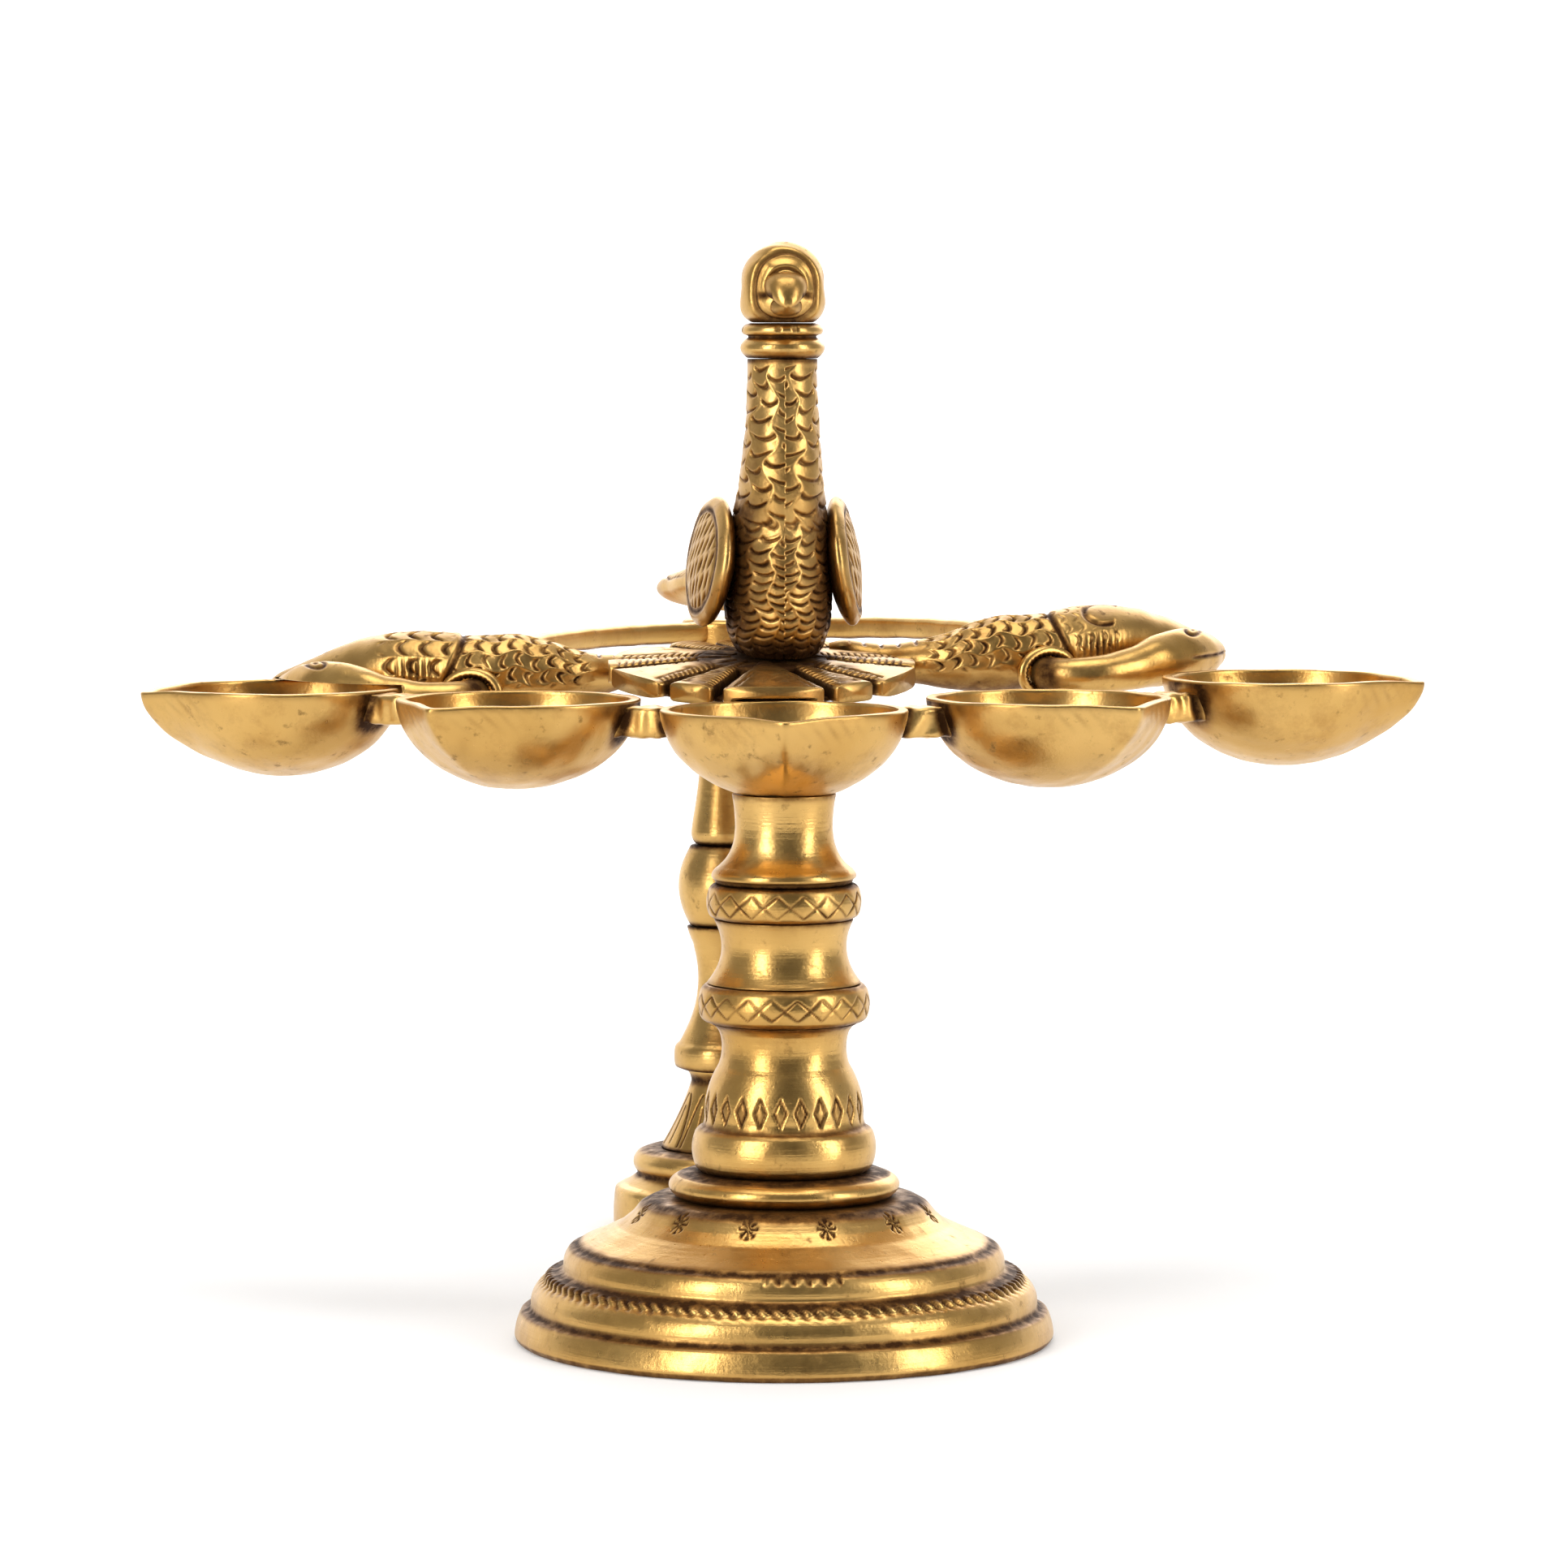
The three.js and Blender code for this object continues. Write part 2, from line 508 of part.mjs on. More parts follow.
// A scaled bird that lies along the arc of bowls, from its root on the lotus plate to its tail tip.
function birdBody(grow) {
  return sweep([
    { x: 12, y: 53.5, z: 105.4, w: 2.4, h: 1.4 },
    { x: 22, y: 52, z: 103.2, w: 3.2, h: 2.9 },
    { x: 29, y: 50.5, z: 103, w: 4.8, h: 4.2 },
    { x: 36, y: 50, z: 103.8, w: 6, h: 6.1 },
    { x: 47, y: 52, z: 104.2, w: 7, h: 6.3 },
    { x: 56, y: 56, z: 104.6, w: 7.4, h: 6.4 },
    { x: 65, y: 61, z: 103.8, w: 6.6, h: 5.6 },
    { x: 73, y: 65, z: 102.4, w: 4, h: 3.6 },
    { x: 79, y: 67.5, z: 101.8, w: 1.4, h: 1.1 },
  ], 14, grow);
}

// The smooth neck that leaves the cuff, runs behind the rims and ends in the head by the outer bowl.
function birdNeck(grow) {
  return sweep([
    { x: 44, y: 47.5, z: 101.6, w: 2.6, h: 2.8 },
    { x: 46.5, y: 43.6, z: 100.6, w: 2.9, h: 2.9 },
    { x: 52, y: 41, z: 100.3, w: 3, h: 3.1 },
    { x: 59, y: 42.8, z: 100.9, w: 3.1, h: 3.4 },
    { x: 65.5, y: 47.5, z: 102, w: 3.9, h: 4.3 },
    { x: 71, y: 53.5, z: 102.3, w: 4.1, h: 4.4 },
    { x: 75, y: 59, z: 101.9, w: 2.9, h: 3.2 },
    { x: 77.2, y: 62.5, z: 101.9, w: 1.1, h: 1.1 },
  ], 12, grow);
}

// A raised oval edge round the opening where the neck leaves the body.
function birdCuff(grow) {
  const edge = new THREE.TorusGeometry(1, 0.2, 6, 14);
  const position = edge.getAttribute('position');
  const tube = 0.9 + grow;
  for (let i = 0; i < position.count; i++) {
    const p = new THREE.Vector3().fromBufferAttribute(position, i);
    const round = Math.hypot(p.x, p.y);
    const [c, d] = [p.x / round, p.y / round];
    const out = ((round - 1) / 0.2) * tube;
    position.setXYZ(i, (4.6 + out) * c, (3.5 + out) * d, (p.z / 0.2) * tube);
  }
  edge.rotateX(Math.PI / 2).rotateZ(THREE.MathUtils.degToRad(22));
  return edge.translate(46.6, 44.4, 100.9);
}

function arm(side) {
  return sweep([
    { x: 42, y: 56, z: 104.6, w: 2, h: 1.9 },
    { x: 39, y: 66, z: 104.6, w: 2, h: 1.9 },
    { x: 31, y: 83, z: 104.6, w: 2, h: 1.9 },
    { x: 18, y: 101, z: 104.2, w: 2, h: 1.9 },
    { x: 4, y: 115.5, z: 103.4 - side * 0.1, w: 2, h: 1.9 },
  ], 8, 0, 0.6);
}

// Adds the bird's pieces on one side: 1 on the right and -1 on the left.
function addBird(side, name) {
  const placed = (geometry, drop) => rolled(side > 0 ? geometry : mirrored(geometry), drop);
  const body = cut(placed(birdBody(0), BIRD_DROP), placed(birdNeck(GAP), BIRD_DROP),
    placed(birdCuff(GAP), BIRD_DROP), lotusBlank());
  add(`bird_body_${name}`, restOnBowls(body), antiqueBrass);
  add(`bird_cuff_${name}`, restOnBowls(cut(placed(birdCuff(0), BIRD_DROP),
    placed(birdNeck(GAP), BIRD_DROP))), polishedBrass);
  add(`bird_neck_${name}`, restOnBowls(placed(birdNeck(0), BIRD_DROP)), polishedBrass);
  add(`arm_${name}`, cut(placed(arm(side), 0), placed(birdBody(GAP), BIRD_DROP), junctionGeometry(GAP)),
    polishedBrass);
}

addBird(1, 'right');
addBird(-1, 'left');

// The origin is on the table, under the middle of the lamp's bounding box.
const middle = new THREE.Box3().setFromObject(lamp).getCenter(new THREE.Vector3());
lamp.position.set(-middle.x, -middle.y, 0);

export default lamp;
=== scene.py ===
import math

import bpy
import numpy as np
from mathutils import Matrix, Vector


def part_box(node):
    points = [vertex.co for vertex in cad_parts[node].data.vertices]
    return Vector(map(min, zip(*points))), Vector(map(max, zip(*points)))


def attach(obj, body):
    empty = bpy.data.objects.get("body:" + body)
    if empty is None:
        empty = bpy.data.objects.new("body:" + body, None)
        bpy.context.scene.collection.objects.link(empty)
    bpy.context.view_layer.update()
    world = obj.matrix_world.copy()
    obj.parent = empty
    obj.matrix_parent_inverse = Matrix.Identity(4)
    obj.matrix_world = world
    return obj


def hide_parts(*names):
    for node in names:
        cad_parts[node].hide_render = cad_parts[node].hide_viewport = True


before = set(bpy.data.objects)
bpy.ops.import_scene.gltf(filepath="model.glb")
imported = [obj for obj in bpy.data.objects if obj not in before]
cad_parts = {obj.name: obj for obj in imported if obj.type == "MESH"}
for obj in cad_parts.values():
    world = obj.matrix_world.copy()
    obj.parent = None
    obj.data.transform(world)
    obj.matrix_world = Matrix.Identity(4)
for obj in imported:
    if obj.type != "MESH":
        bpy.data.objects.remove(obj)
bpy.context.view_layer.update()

# Lengths are worked out in millimetres round the front column's axis, and turned to metres at the end.
MM = 0.001
TAU = 2 * math.pi


def axis(node):
    """A turned node's axis, as (x, y) in millimetres."""
    low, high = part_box(node)
    return (low.x + high.x) / 2 / MM, (low.y + high.y) / 2 / MM


SHIFT_X, SHIFT_Y = axis("front_base")
REAR_Y = axis("rear_base")[1] - SHIFT_Y
HUB_Y = 42.0


# ---------------------------------------------------------------- camera, light and floor

CAMERA_AZIMUTH = math.radians(4.9)  # how far the camera stands to the left of straight ahead
CAMERA_DISTANCE = 978.0
CAMERA_HEIGHT = 165.0
CAMERA_PITCH = math.radians(4.6)
LENS_MM = 145.9


def make_camera():
    data = bpy.data.cameras.new("camera")
    data.lens = LENS_MM
    data.sensor_width = 36
    camera = bpy.data.objects.new("camera", data)
    bpy.context.scene.collection.objects.link(camera)
    away = Vector((-math.sin(CAMERA_AZIMUTH), -math.cos(CAMERA_AZIMUTH), 0))
    camera.location = (away * CAMERA_DISTANCE + Vector((SHIFT_X, SHIFT_Y, CAMERA_HEIGHT))) * MM
    camera.rotation_euler = (math.pi / 2 - CAMERA_PITCH, 0, -CAMERA_AZIMUTH)
    bpy.context.scene.camera = camera


def area_light(name, place, size, power):
    """A rectangular soft light that faces the middle of the lamp. Place and size are in metres."""
    data = bpy.data.lights.new(name, "AREA")
    data.shape = "RECTANGLE"
    data.size, data.size_y = size
    data.energy = power
    light = bpy.data.objects.new(name, data)
    light.location = place
    towards = Vector((0, 0, 0.08)) - light.location
    light.rotation_euler = towards.to_track_quat("-Z", "Y").to_euler()
    bpy.context.scene.collection.objects.link(light)


def make_stage():
    """A pale floor that curves up into a backdrop."""
    radius, back = 0.7, 1.6
    line = [(-3.0, 0.0), (back, 0.0)]
    for k in range(1, 17):
        turn = math.pi / 2 * k / 16
        line.append((back + radius * math.sin(turn), radius * (1 - math.cos(turn))))
    line.append((back + radius, 3.2))
    verts = [(x, y, z) for y, z in line for x in (-3.5, 3.5)]
    faces = [(2 * i, 2 * i + 1, 2 * i + 3, 2 * i + 2) for i in range(len(line) - 1)]
    mesh = bpy.data.meshes.new("backdrop")
    mesh.from_pydata(verts, [], faces)
    mesh.polygons.foreach_set("use_smooth", [True] * len(faces))
    floor = bpy.data.objects.new("backdrop", mesh)
    bpy.context.scene.collection.objects.link(floor)
    material = bpy.data.materials.new("backdrop")
    material.use_nodes = True
    tree = material.node_tree
    shader = tree.nodes["Principled BSDF"]
    shader.inputs["Base Color"].default_value = (0.82, 0.82, 0.82, 1)
    shader.inputs["Roughness"].default_value = 0.8
    shader.inputs["Emission Color"].default_value = (1, 1, 1, 1)
    split = tree.nodes.new("ShaderNodeSeparateXYZ")
    link(tree, tree.nodes.new("ShaderNodeTexCoord").outputs["Object"], split.inputs[0])
    depth = maths(tree, "MULTIPLY", split.outputs["Y"], 0.5, clamp=True)
    glow = maths(tree, "MULTIPLY_ADD", depth, 0.75, 0.16)
    link(tree, glow, shader.inputs["Emission Strength"])
    mesh.materials.append(material)


def make_light():
    """Soft boxes on both sides in front, and a room that is dimmer on the camera's side."""
    bpy.context.scene.view_settings.view_transform = "Standard"
    world = bpy.data.worlds.new("studio")
    bpy.context.scene.world = world
    world.use_nodes = True
    tree = world.node_tree
    background = tree.nodes["Background"]
    place = tree.nodes.new("ShaderNodeTexCoord").outputs["Generated"]
    split = tree.nodes.new("ShaderNodeSeparateXYZ")
    link(tree, place, split.inputs[0])
    away = maths(tree, "MULTIPLY_ADD", split.outputs["Y"], 0.5, 0.5)
    room = ramp(tree, away, [(0.0, (0.1, 0.1, 0.1)), (0.35, (0.28, 0.28, 0.28)), (1.0, (0.75, 0.75, 0.75))])
    link(tree, room, background.inputs["Color"])
    background.inputs["Strength"].default_value = 0.8
    area_light("key", (-0.75, -0.75, 0.45), (0.28, 0.9), 7)
    area_light("fill", (0.85, -0.6, 0.4), (0.25, 0.9), 5)
    area_light("top", (0.0, -0.1, 1.2), (0.9, 0.7), 6)
    area_light("back", (0.3, 1.2, 0.7), (1.2, 0.8), 5)


# ---------------------------------------------------------------- materials


def link(tree, out_socket, in_socket):
    tree.links.new(out_socket, in_socket)


def noise(tree, vector, scale, detail=4.0, roughness=0.55):
    node = tree.nodes.new("ShaderNodeTexNoise")
    node.inputs["Scale"].default_value = scale
    node.inputs["Detail"].default_value = detail
    node.inputs["Roughness"].default_value = roughness
    node.inputs["Distortion"].default_value = 0.0
    link(tree, vector, node.inputs["Vector"])
    return node.outputs["Fac"]


def ramp(tree, factor, stops):
    node = tree.nodes.new("ShaderNodeValToRGB")
    elements = node.color_ramp.elements
    while len(elements) < len(stops):
        elements.new(0.5)
    for element, (place, colour) in zip(elements, stops):
        element.position = place
        element.color = (*colour, 1)
    link(tree, factor, node.inputs["Fac"])
    return node.outputs["Color"]


def maths(tree, operation, *operands, clamp=False):
    """A Math node whose operands are numbers or sockets."""
    node = tree.nodes.new("ShaderNodeMath")
    node.operation = operation
    node.use_clamp = clamp
    for socket, value in zip(node.inputs, operands):
        if isinstance(value, (int, float)):
            socket.default_value = value
        else:
            link(tree, value, socket)
    return node.outputs[0]


def mix_colour(tree, factor, under, colour):
    """A fixed colour laid over another colour by a factor."""
    node = tree.nodes.new("ShaderNodeMix")
    node.data_type = "RGBA"
    link(tree, factor, node.inputs[0])
    link(tree, under, node.inputs[6])
    node.inputs[7].default_value = (*colour, 1)
    return node.outputs[2]


TARNISH_AND_SHADE = (0.30, 0.135, 0.035)  # the brown round the patina, and round the painted shade on undersides
# The dark of patina, also laid on undersides as painted shade.
PATINA_AND_SHADE = (0.06, 0.025, 0.009)


def brass_material(name, light, deep, grime, roughness, lines=0.0):
    """Cast brass: tone drifts over centimetres, patina fills the recesses and painted shade darkens the
    undersides of the arms and side birds, both stored on the mesh, and the surface has casting pits and
    polishing marks. `lines` is the strength of turning lines round Z."""
    material = bpy.data.materials.new(name)
    material.use_nodes = True
    tree = material.node_tree
    shader = tree.nodes["Principled BSDF"]
    shader.inputs["Metallic"].default_value = 1.0
    place = tree.nodes.new("ShaderNodeTexCoord").outputs["Object"]

    broad = noise(tree, place, 45, 3)
    speckle = noise(tree, place, 420, 5, 0.65)
    grain = noise(tree, place, 1900, 3, 0.6)
    tone = ramp(tree, broad, [(0.3, deep), (0.7, light)])

    # Stored darkening: patina in recesses and joints, and painted shade on the undersides of the arms and
    # side birds.
    stored = tree.nodes.new("ShaderNodeAttribute")
    stored.attribute_name = "patina_and_shade"
    ragged = maths(tree, "MULTIPLY_ADD", speckle, 2.5, -0.3)
    ragged = maths(tree, "MAXIMUM", ragged, 0.15)
    patina_and_shade = maths(tree, "MULTIPLY", stored.outputs["Fac"], ragged, clamp=True)
    spots = ramp(tree, speckle, [(0.6, (0, 0, 0)), (0.74, (1, 1, 1))])
    spots = maths(tree, "MULTIPLY", spots, grime, clamp=True)
    dark = maths(tree, "MAXIMUM", patina_and_shade, spots)
    blotch = ramp(tree, noise(tree, place, 130, 6, 0.72), [(0.5, (0, 0, 0)), (0.72, (1, 1, 1))])
    halo = maths(tree, "MULTIPLY", maths(tree, "MULTIPLY", stored.outputs["Fac"], 2.2), ragged, clamp=True)
    halo = maths(tree, "MAXIMUM", halo, maths(tree, "MULTIPLY", blotch, grime))
    browned = mix_colour(tree, maths(tree, "MULTIPLY", halo, 0.75), tone, TARNISH_AND_SHADE)
    stained_and_shaded = mix_colour(tree, dark, browned, PATINA_AND_SHADE)
    link(tree, stained_and_shaded, shader.inputs["Base Color"])

    worn = maths(tree, "MULTIPLY_ADD", speckle, 0.2, roughness - 0.1)
    stain_rough = maths(tree, "MULTIPLY", dark, 0.35)
    link(tree, maths(tree, "ADD", worn, stain_rough), shader.inputs["Roughness"])

    height = maths(tree, "MULTIPLY", grain, 0.35)
    height = maths(tree, "ADD", height, maths(tree, "MULTIPLY", speckle, 0.65))
    if lines:
        split = tree.nodes.new("ShaderNodeMapping")
        split.inputs["Scale"].default_value = (0.02, 0.02, 1)
        link(tree, place, split.inputs["Vector"])
        turning = noise(tree, split.outputs["Vector"], 2600, 2, 0.5)
        height = maths(tree, "ADD", height, maths(tree, "MULTIPLY", turning, lines))
    bump = tree.nodes.new("ShaderNodeBump")
    bump.inputs["Strength"].default_value = 0.5
    bump.inputs["Distance"].default_value = 0.00016
    link(tree, height, bump.inputs["Height"])
    link(tree, bump.outputs["Normal"], shader.inputs["Normal"])
    return material


def steel_material():
    material = bpy.data.materials.new("steel")
    material.use_nodes = True
    tree = material.node_tree
    shader = tree.nodes["Principled BSDF"]
    shader.inputs["Metallic"].default_value = 1.0
    place = tree.nodes.new("ShaderNodeTexCoord").outputs["Object"]
    speckle = noise(tree, place, 700, 4)
    tone = ramp(tree, speckle, [(0.3, (0.32, 0.31, 0.29)), (0.7, (0.62, 0.62, 0.6))])
    link(tree, tone, shader.inputs["Base Color"])
    rough = maths(tree, "MULTIPLY_ADD", speckle, 0.3, 0.25)
    link(tree, rough, shader.inputs["Roughness"])
    return material


LIGHT_BRASS = (0.72, 0.45, 0.15)
DEEP_BRASS = (0.58, 0.33, 0.09)
POLISHED = brass_material("polished_brass", LIGHT_BRASS, DEEP_BRASS, 0.55, 0.31)
TURNED = brass_material("turned_brass", LIGHT_BRASS, DEEP_BRASS, 0.5, 0.3, lines=0.5)
ANTIQUE = brass_material("antique_brass", (0.64, 0.39, 0.13), (0.48, 0.27, 0.075), 0.8, 0.34)
STEEL = steel_material()


# ---------------------------------------------------------------- mesh helpers


def bow(start, end, bulge, steps):
    """Points of a smooth bow between two (r, z) points, whose middle stands `bulge` to the right."""
    (r0, z0), (r1, z1) = start, end
    length = math.hypot(r1 - r0, z1 - z0)
    t = np.linspace(0, 1, steps + 1)
    lift = 4 * bulge * t * (1 - t) / length
    return [tuple(p) for p in np.stack([r0 + (r1 - r0) * t + (z1 - z0) * lift,
                                        z0 + (z1 - z0) * t - (r1 - r0) * lift], 1)]


def even(outline, step, closed):
    """The outline with even spacing and its corners eased."""
    points = np.array(outline + [outline[0]] if closed else outline, float)
    lengths = np.hypot(*np.diff(points, axis=0).T)
    along = np.concatenate([[0], np.cumsum(lengths)])
    count = max(8, int(along[-1] / step))
    where = np.linspace(0, along[-1], count + 1)
    fine = np.stack([np.interp(where, along, points[:, k]) for k in (0, 1)], 1)
    if closed:
        fine = fine[:-1]
        fine = (np.roll(fine, 1, 0) + 2 * fine + np.roll(fine, -1, 0)) / 4
    else:
        fine[1:-1] = (fine[:-2] + 2 * fine[1:-1] + fine[2:]) / 4
    return fine


def grid_normals(grid, closed_rows=False):
    """Outward unit normals of a grid whose columns run anticlockwise and whose rows climb."""
    around = np.roll(grid, -1, 1) - np.roll(grid, 1, 1)
    if closed_rows:
        along = np.roll(grid, -1, 0) - np.roll(grid, 1, 0)
    else:
        along = np.gradient(grid, axis=0)
    normal = np.cross(around, along)
    length = np.linalg.norm(normal, axis=2, keepdims=True)
    return normal / np.maximum(length, 1e-12)


def faces_of(rows, columns, first=0, closed_rows=False):
    """The quads of a grid whose columns close on themselves. `first` is its first point's number."""
    r = np.arange(rows if closed_rows else rows - 1)[:, None]
    c = np.arange(columns)[None, :]
    near, far, c2 = r * columns, ((r + 1) % rows) * columns, (c + 1) % columns
    return (np.stack([near + c, near + c2, far + c2, far + c], -1).reshape(-1, 4) + first).tolist()


def end_fans(rows, columns, first=0):
    """Triangles that close a grid's two ends round their middle points, which follow the grid's points."""
    low = first + rows * columns
    base = low - columns
    fans = []
    for i in range(columns):
        j = (i + 1) % columns
        fans.append((low, first + j, first + i))
        fans.append((low + 1, base + i, base + j))
    return fans


def piece(name, grid, patina_and_shade, material, node, closed_rows=False):
    """Makes a closed piece from a grid (rows, columns, xyz) in lamp millimetres, and puts it in place of
    its CAD node. Open rows are closed by a fan at each end."""
    rows, columns = grid.shape[:2]
    faces = faces_of(rows, columns, closed_rows=closed_rows)
    points = grid.reshape(-1, 3)
    shade = np.broadcast_to(patina_and_shade, (rows, columns)).reshape(-1)
    if not closed_rows:
        points = np.vstack([points, grid[0].mean(0), grid[-1].mean(0)])
        shade = np.concatenate([shade, [shade[0], shade[-1]]])
        faces += end_fans(rows, columns)
    solid(name, points, faces, shade, material, node)


def solid(name, points, faces, patina_and_shade, material, node):
    mesh = bpy.data.meshes.new(name)
    world = (points + np.array([SHIFT_X, SHIFT_Y, 0])) * MM
    mesh.from_pydata(world.tolist(), [], faces)
    # The stored darkening holds patina and painted shade.
    stored = mesh.attributes.new("patina_and_shade", "FLOAT", "POINT")
    stored.data.foreach_set("value", np.clip(patina_and_shade, 0, 1).astype(np.float32))
    mesh.polygons.foreach_set("use_smooth", [True] * len(mesh.polygons))
    mesh.materials.append(material)
    made = bpy.data.objects.new(name, mesh)
    bpy.context.scene.collection.objects.link(made)
    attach(made, "root")
    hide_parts(node)


def bell(distance, width):
    """1 on a line and 0 away from it."""
    return np.exp(-((distance / width) ** 2))


def squared(wave, power):
    """A sine or cosine flattened towards a square wave."""
    return np.sign(wave) * np.abs(wave) ** power


def step_up(value, low, high):
    t = np.clip((value - low) / (high - low), 0, 1)
    return t * t * (3 - 2 * t)


def wobble(grid, size, seed):
    """A slow unevenness of about +-1 over a grid, as hand work leaves."""
    rng = np.random.default_rng(seed)
    total = np.zeros(grid.shape[:2])
    for _ in range(6):
        way = rng.normal(size=3)
        along = grid @ (way / np.linalg.norm(way)) * TAU / size
        total += np.sin(along * rng.uniform(0.6, 1.5) + rng.uniform(0, TAU))
    return total / 3


# ---------------------------------------------------------------- turned pieces


SPREAD_STEPS = 24  # how far a turned piece's patina spreads out of its grooves
UNEVEN = 0.07  # how far hand finishing leaves a turned surface from true


def stains(*rings):
    """Patina round a turned piece, from rings of (height, strength, width)."""
    return lambda r, z: sum(strength * bell(z - level, width) for level, strength, width in rings)


def turned(name, outline, node, x=0, y=0, segments=160, step=0.35, closed=True, relief=None, grime=None):
    """A turned piece from an outline of (r, z). `relief(angle, r, z)` gives its cuts as (height, patina)."""
    fine = even(outline, step, closed)
    angle = np.arange(segments) * TAU / segments
    r, z = fine[:, 0][:, None], fine[:, 1][:, None]
    grid = np.stack(np.broadcast_arrays(r * np.cos(angle) + x, r * np.sin(angle) + y, z), -1)
    patina_and_shade = np.zeros(grid.shape[:2])
    push = UNEVEN * wobble(grid, 9, len(name)) * step_up(r, 3, 6)
    if relief:
        height, dark = relief(angle[None, :], r, z)
        push = push + height
        patina_and_shade = patina_and_shade + dark
    if grime:
        patina_and_shade = patina_and_shade + grime(r, z)
    spread = patina_and_shade
    for _ in range(SPREAD_STEPS):
        spread = (np.roll(spread, 1, 0) + 2 * spread + np.roll(spread, -1, 0)) / 4
    patina_and_shade = 0.95 * patina_and_shade + 0.2 * spread
    grid = grid + grid_normals(grid, closed) * np.minimum(push, 0.0)[..., None]
    piece(name, grid, patina_and_shade, TURNED, node, closed_rows=closed)


BORE = 2.3
SEAM = 0.1


def bored(outline):
    return outline + [(BORE, outline[-1][1]), (BORE, outline[0][1])]


def diamonds(angle, r, z, count, low, high, width):
    """A row of crossed chisel cuts between two heights."""
    across = (angle * count / TAU) % 1.0
    up = np.clip((z - low) / (high - low), -0.2, 1.2)
    cell = TAU * r / count
    rising = np.abs(across - up) * cell
    rising = np.minimum(rising, np.abs(across - up - 1) * cell)
    falling = np.minimum(np.abs(across + up - 1) * cell, np.abs(across + up) * cell)
    falling = np.minimum(falling, np.abs(across + up - 2) * cell)
    worn = 0.65 + 0.35 * np.sin(angle * 7.3 + 1.0) * np.sin(angle * 3.1 + z)
    inside = step_up(z, low - 0.2, low + 0.2) * (1 - step_up(z, high - 0.2, high + 0.2))
    cut = np.maximum(bell(rising, width), bell(falling, width)) * inside * worn * (r > 5)
    return -0.34 * cut, 0.95 * cut


def make_front_base():
    top, roof = 22.3, 18.6
    outline = [
        (41.3, 0), *bow((41.9, 0.8), (40.9, 4.6), 0.2, 4), (39.7, 4.9),
        *bow((39.3, 5.4), (38, 9), 0.5, 5), (37.6, 9.2),
        *bow((37.3, 9.3), (36.6, 10.4), 0.25, 3), (35.7, 10.5),
        *bow((34.3, 11.1), (33.3, 14.4), 0.4, 4), (32.2, 14.8),
        (31.8, 15.2), (28.8, 16.5), (25.6, 18), (23.6, 19.6), (22.3, 21.2), (20.6, 22.1), (18.6, top),
        (BORE, top), (BORE, roof), (19, roof), (30, 12.4), (37.2, 3), (38.3, 0),
    ]

    def relief(angle, r, z):
        outside = (r > 18) & (z > 4) & ((r + 1.28 * z) > 44.5)
        rope = np.sin(angle * 106 + z * 3.2)
        on_rope = bell(z - 9.9, 0.8) * outside * (r > 36.3)
        height = -0.42 * on_rope * (rope > 0.2)
        dark = 0.75 * on_rope * (rope > 0.2)
        scoop = ((angle - 1.5 * math.pi) * 14) % 1 - 0.5
        away = np.hypot(scoop * 2.3, (z - 14.1) * 1.1)
        scoops = bell(away, 0.6) * (np.abs(angle - 1.5 * math.pi) < 0.18) * outside
        height = height - 0.5 * scoops
        dark = dark + 1.1 * scoops * (scoop < 0.05)
        for k in range(12):
            centre = TAU * k / 12 + 0.2
            du = ((angle - centre + math.pi) % TAU - math.pi) * r
            dz = (z - 20.3) * 1.1
            away = np.hypot(du, dz)
            spokes = np.cos(np.arctan2(dz, du) * 8) > 0.1
            mark = (away < 1.5) * (away > 0.3) * spokes * outside * (r < 30)
            height = height - 0.22 * mark
            dark = dark + 1.0 * mark
        return height, dark

    def grime(r, z):
        lines = sum(bell(z - level, 0.45) for level in (5.0, 10.6, 14.8)) * (r > 30)
        top_edge = bell(z - 21.9, 0.8) * 0.8
        return 0.95 * lines + top_edge + 0.5 * (z < roof - 0.05) * ((r + 1.28 * z) < 43.0)

    turned("front_base_visual", outline, "front_base", segments=720, step=0.3, relief=relief, grime=grime)


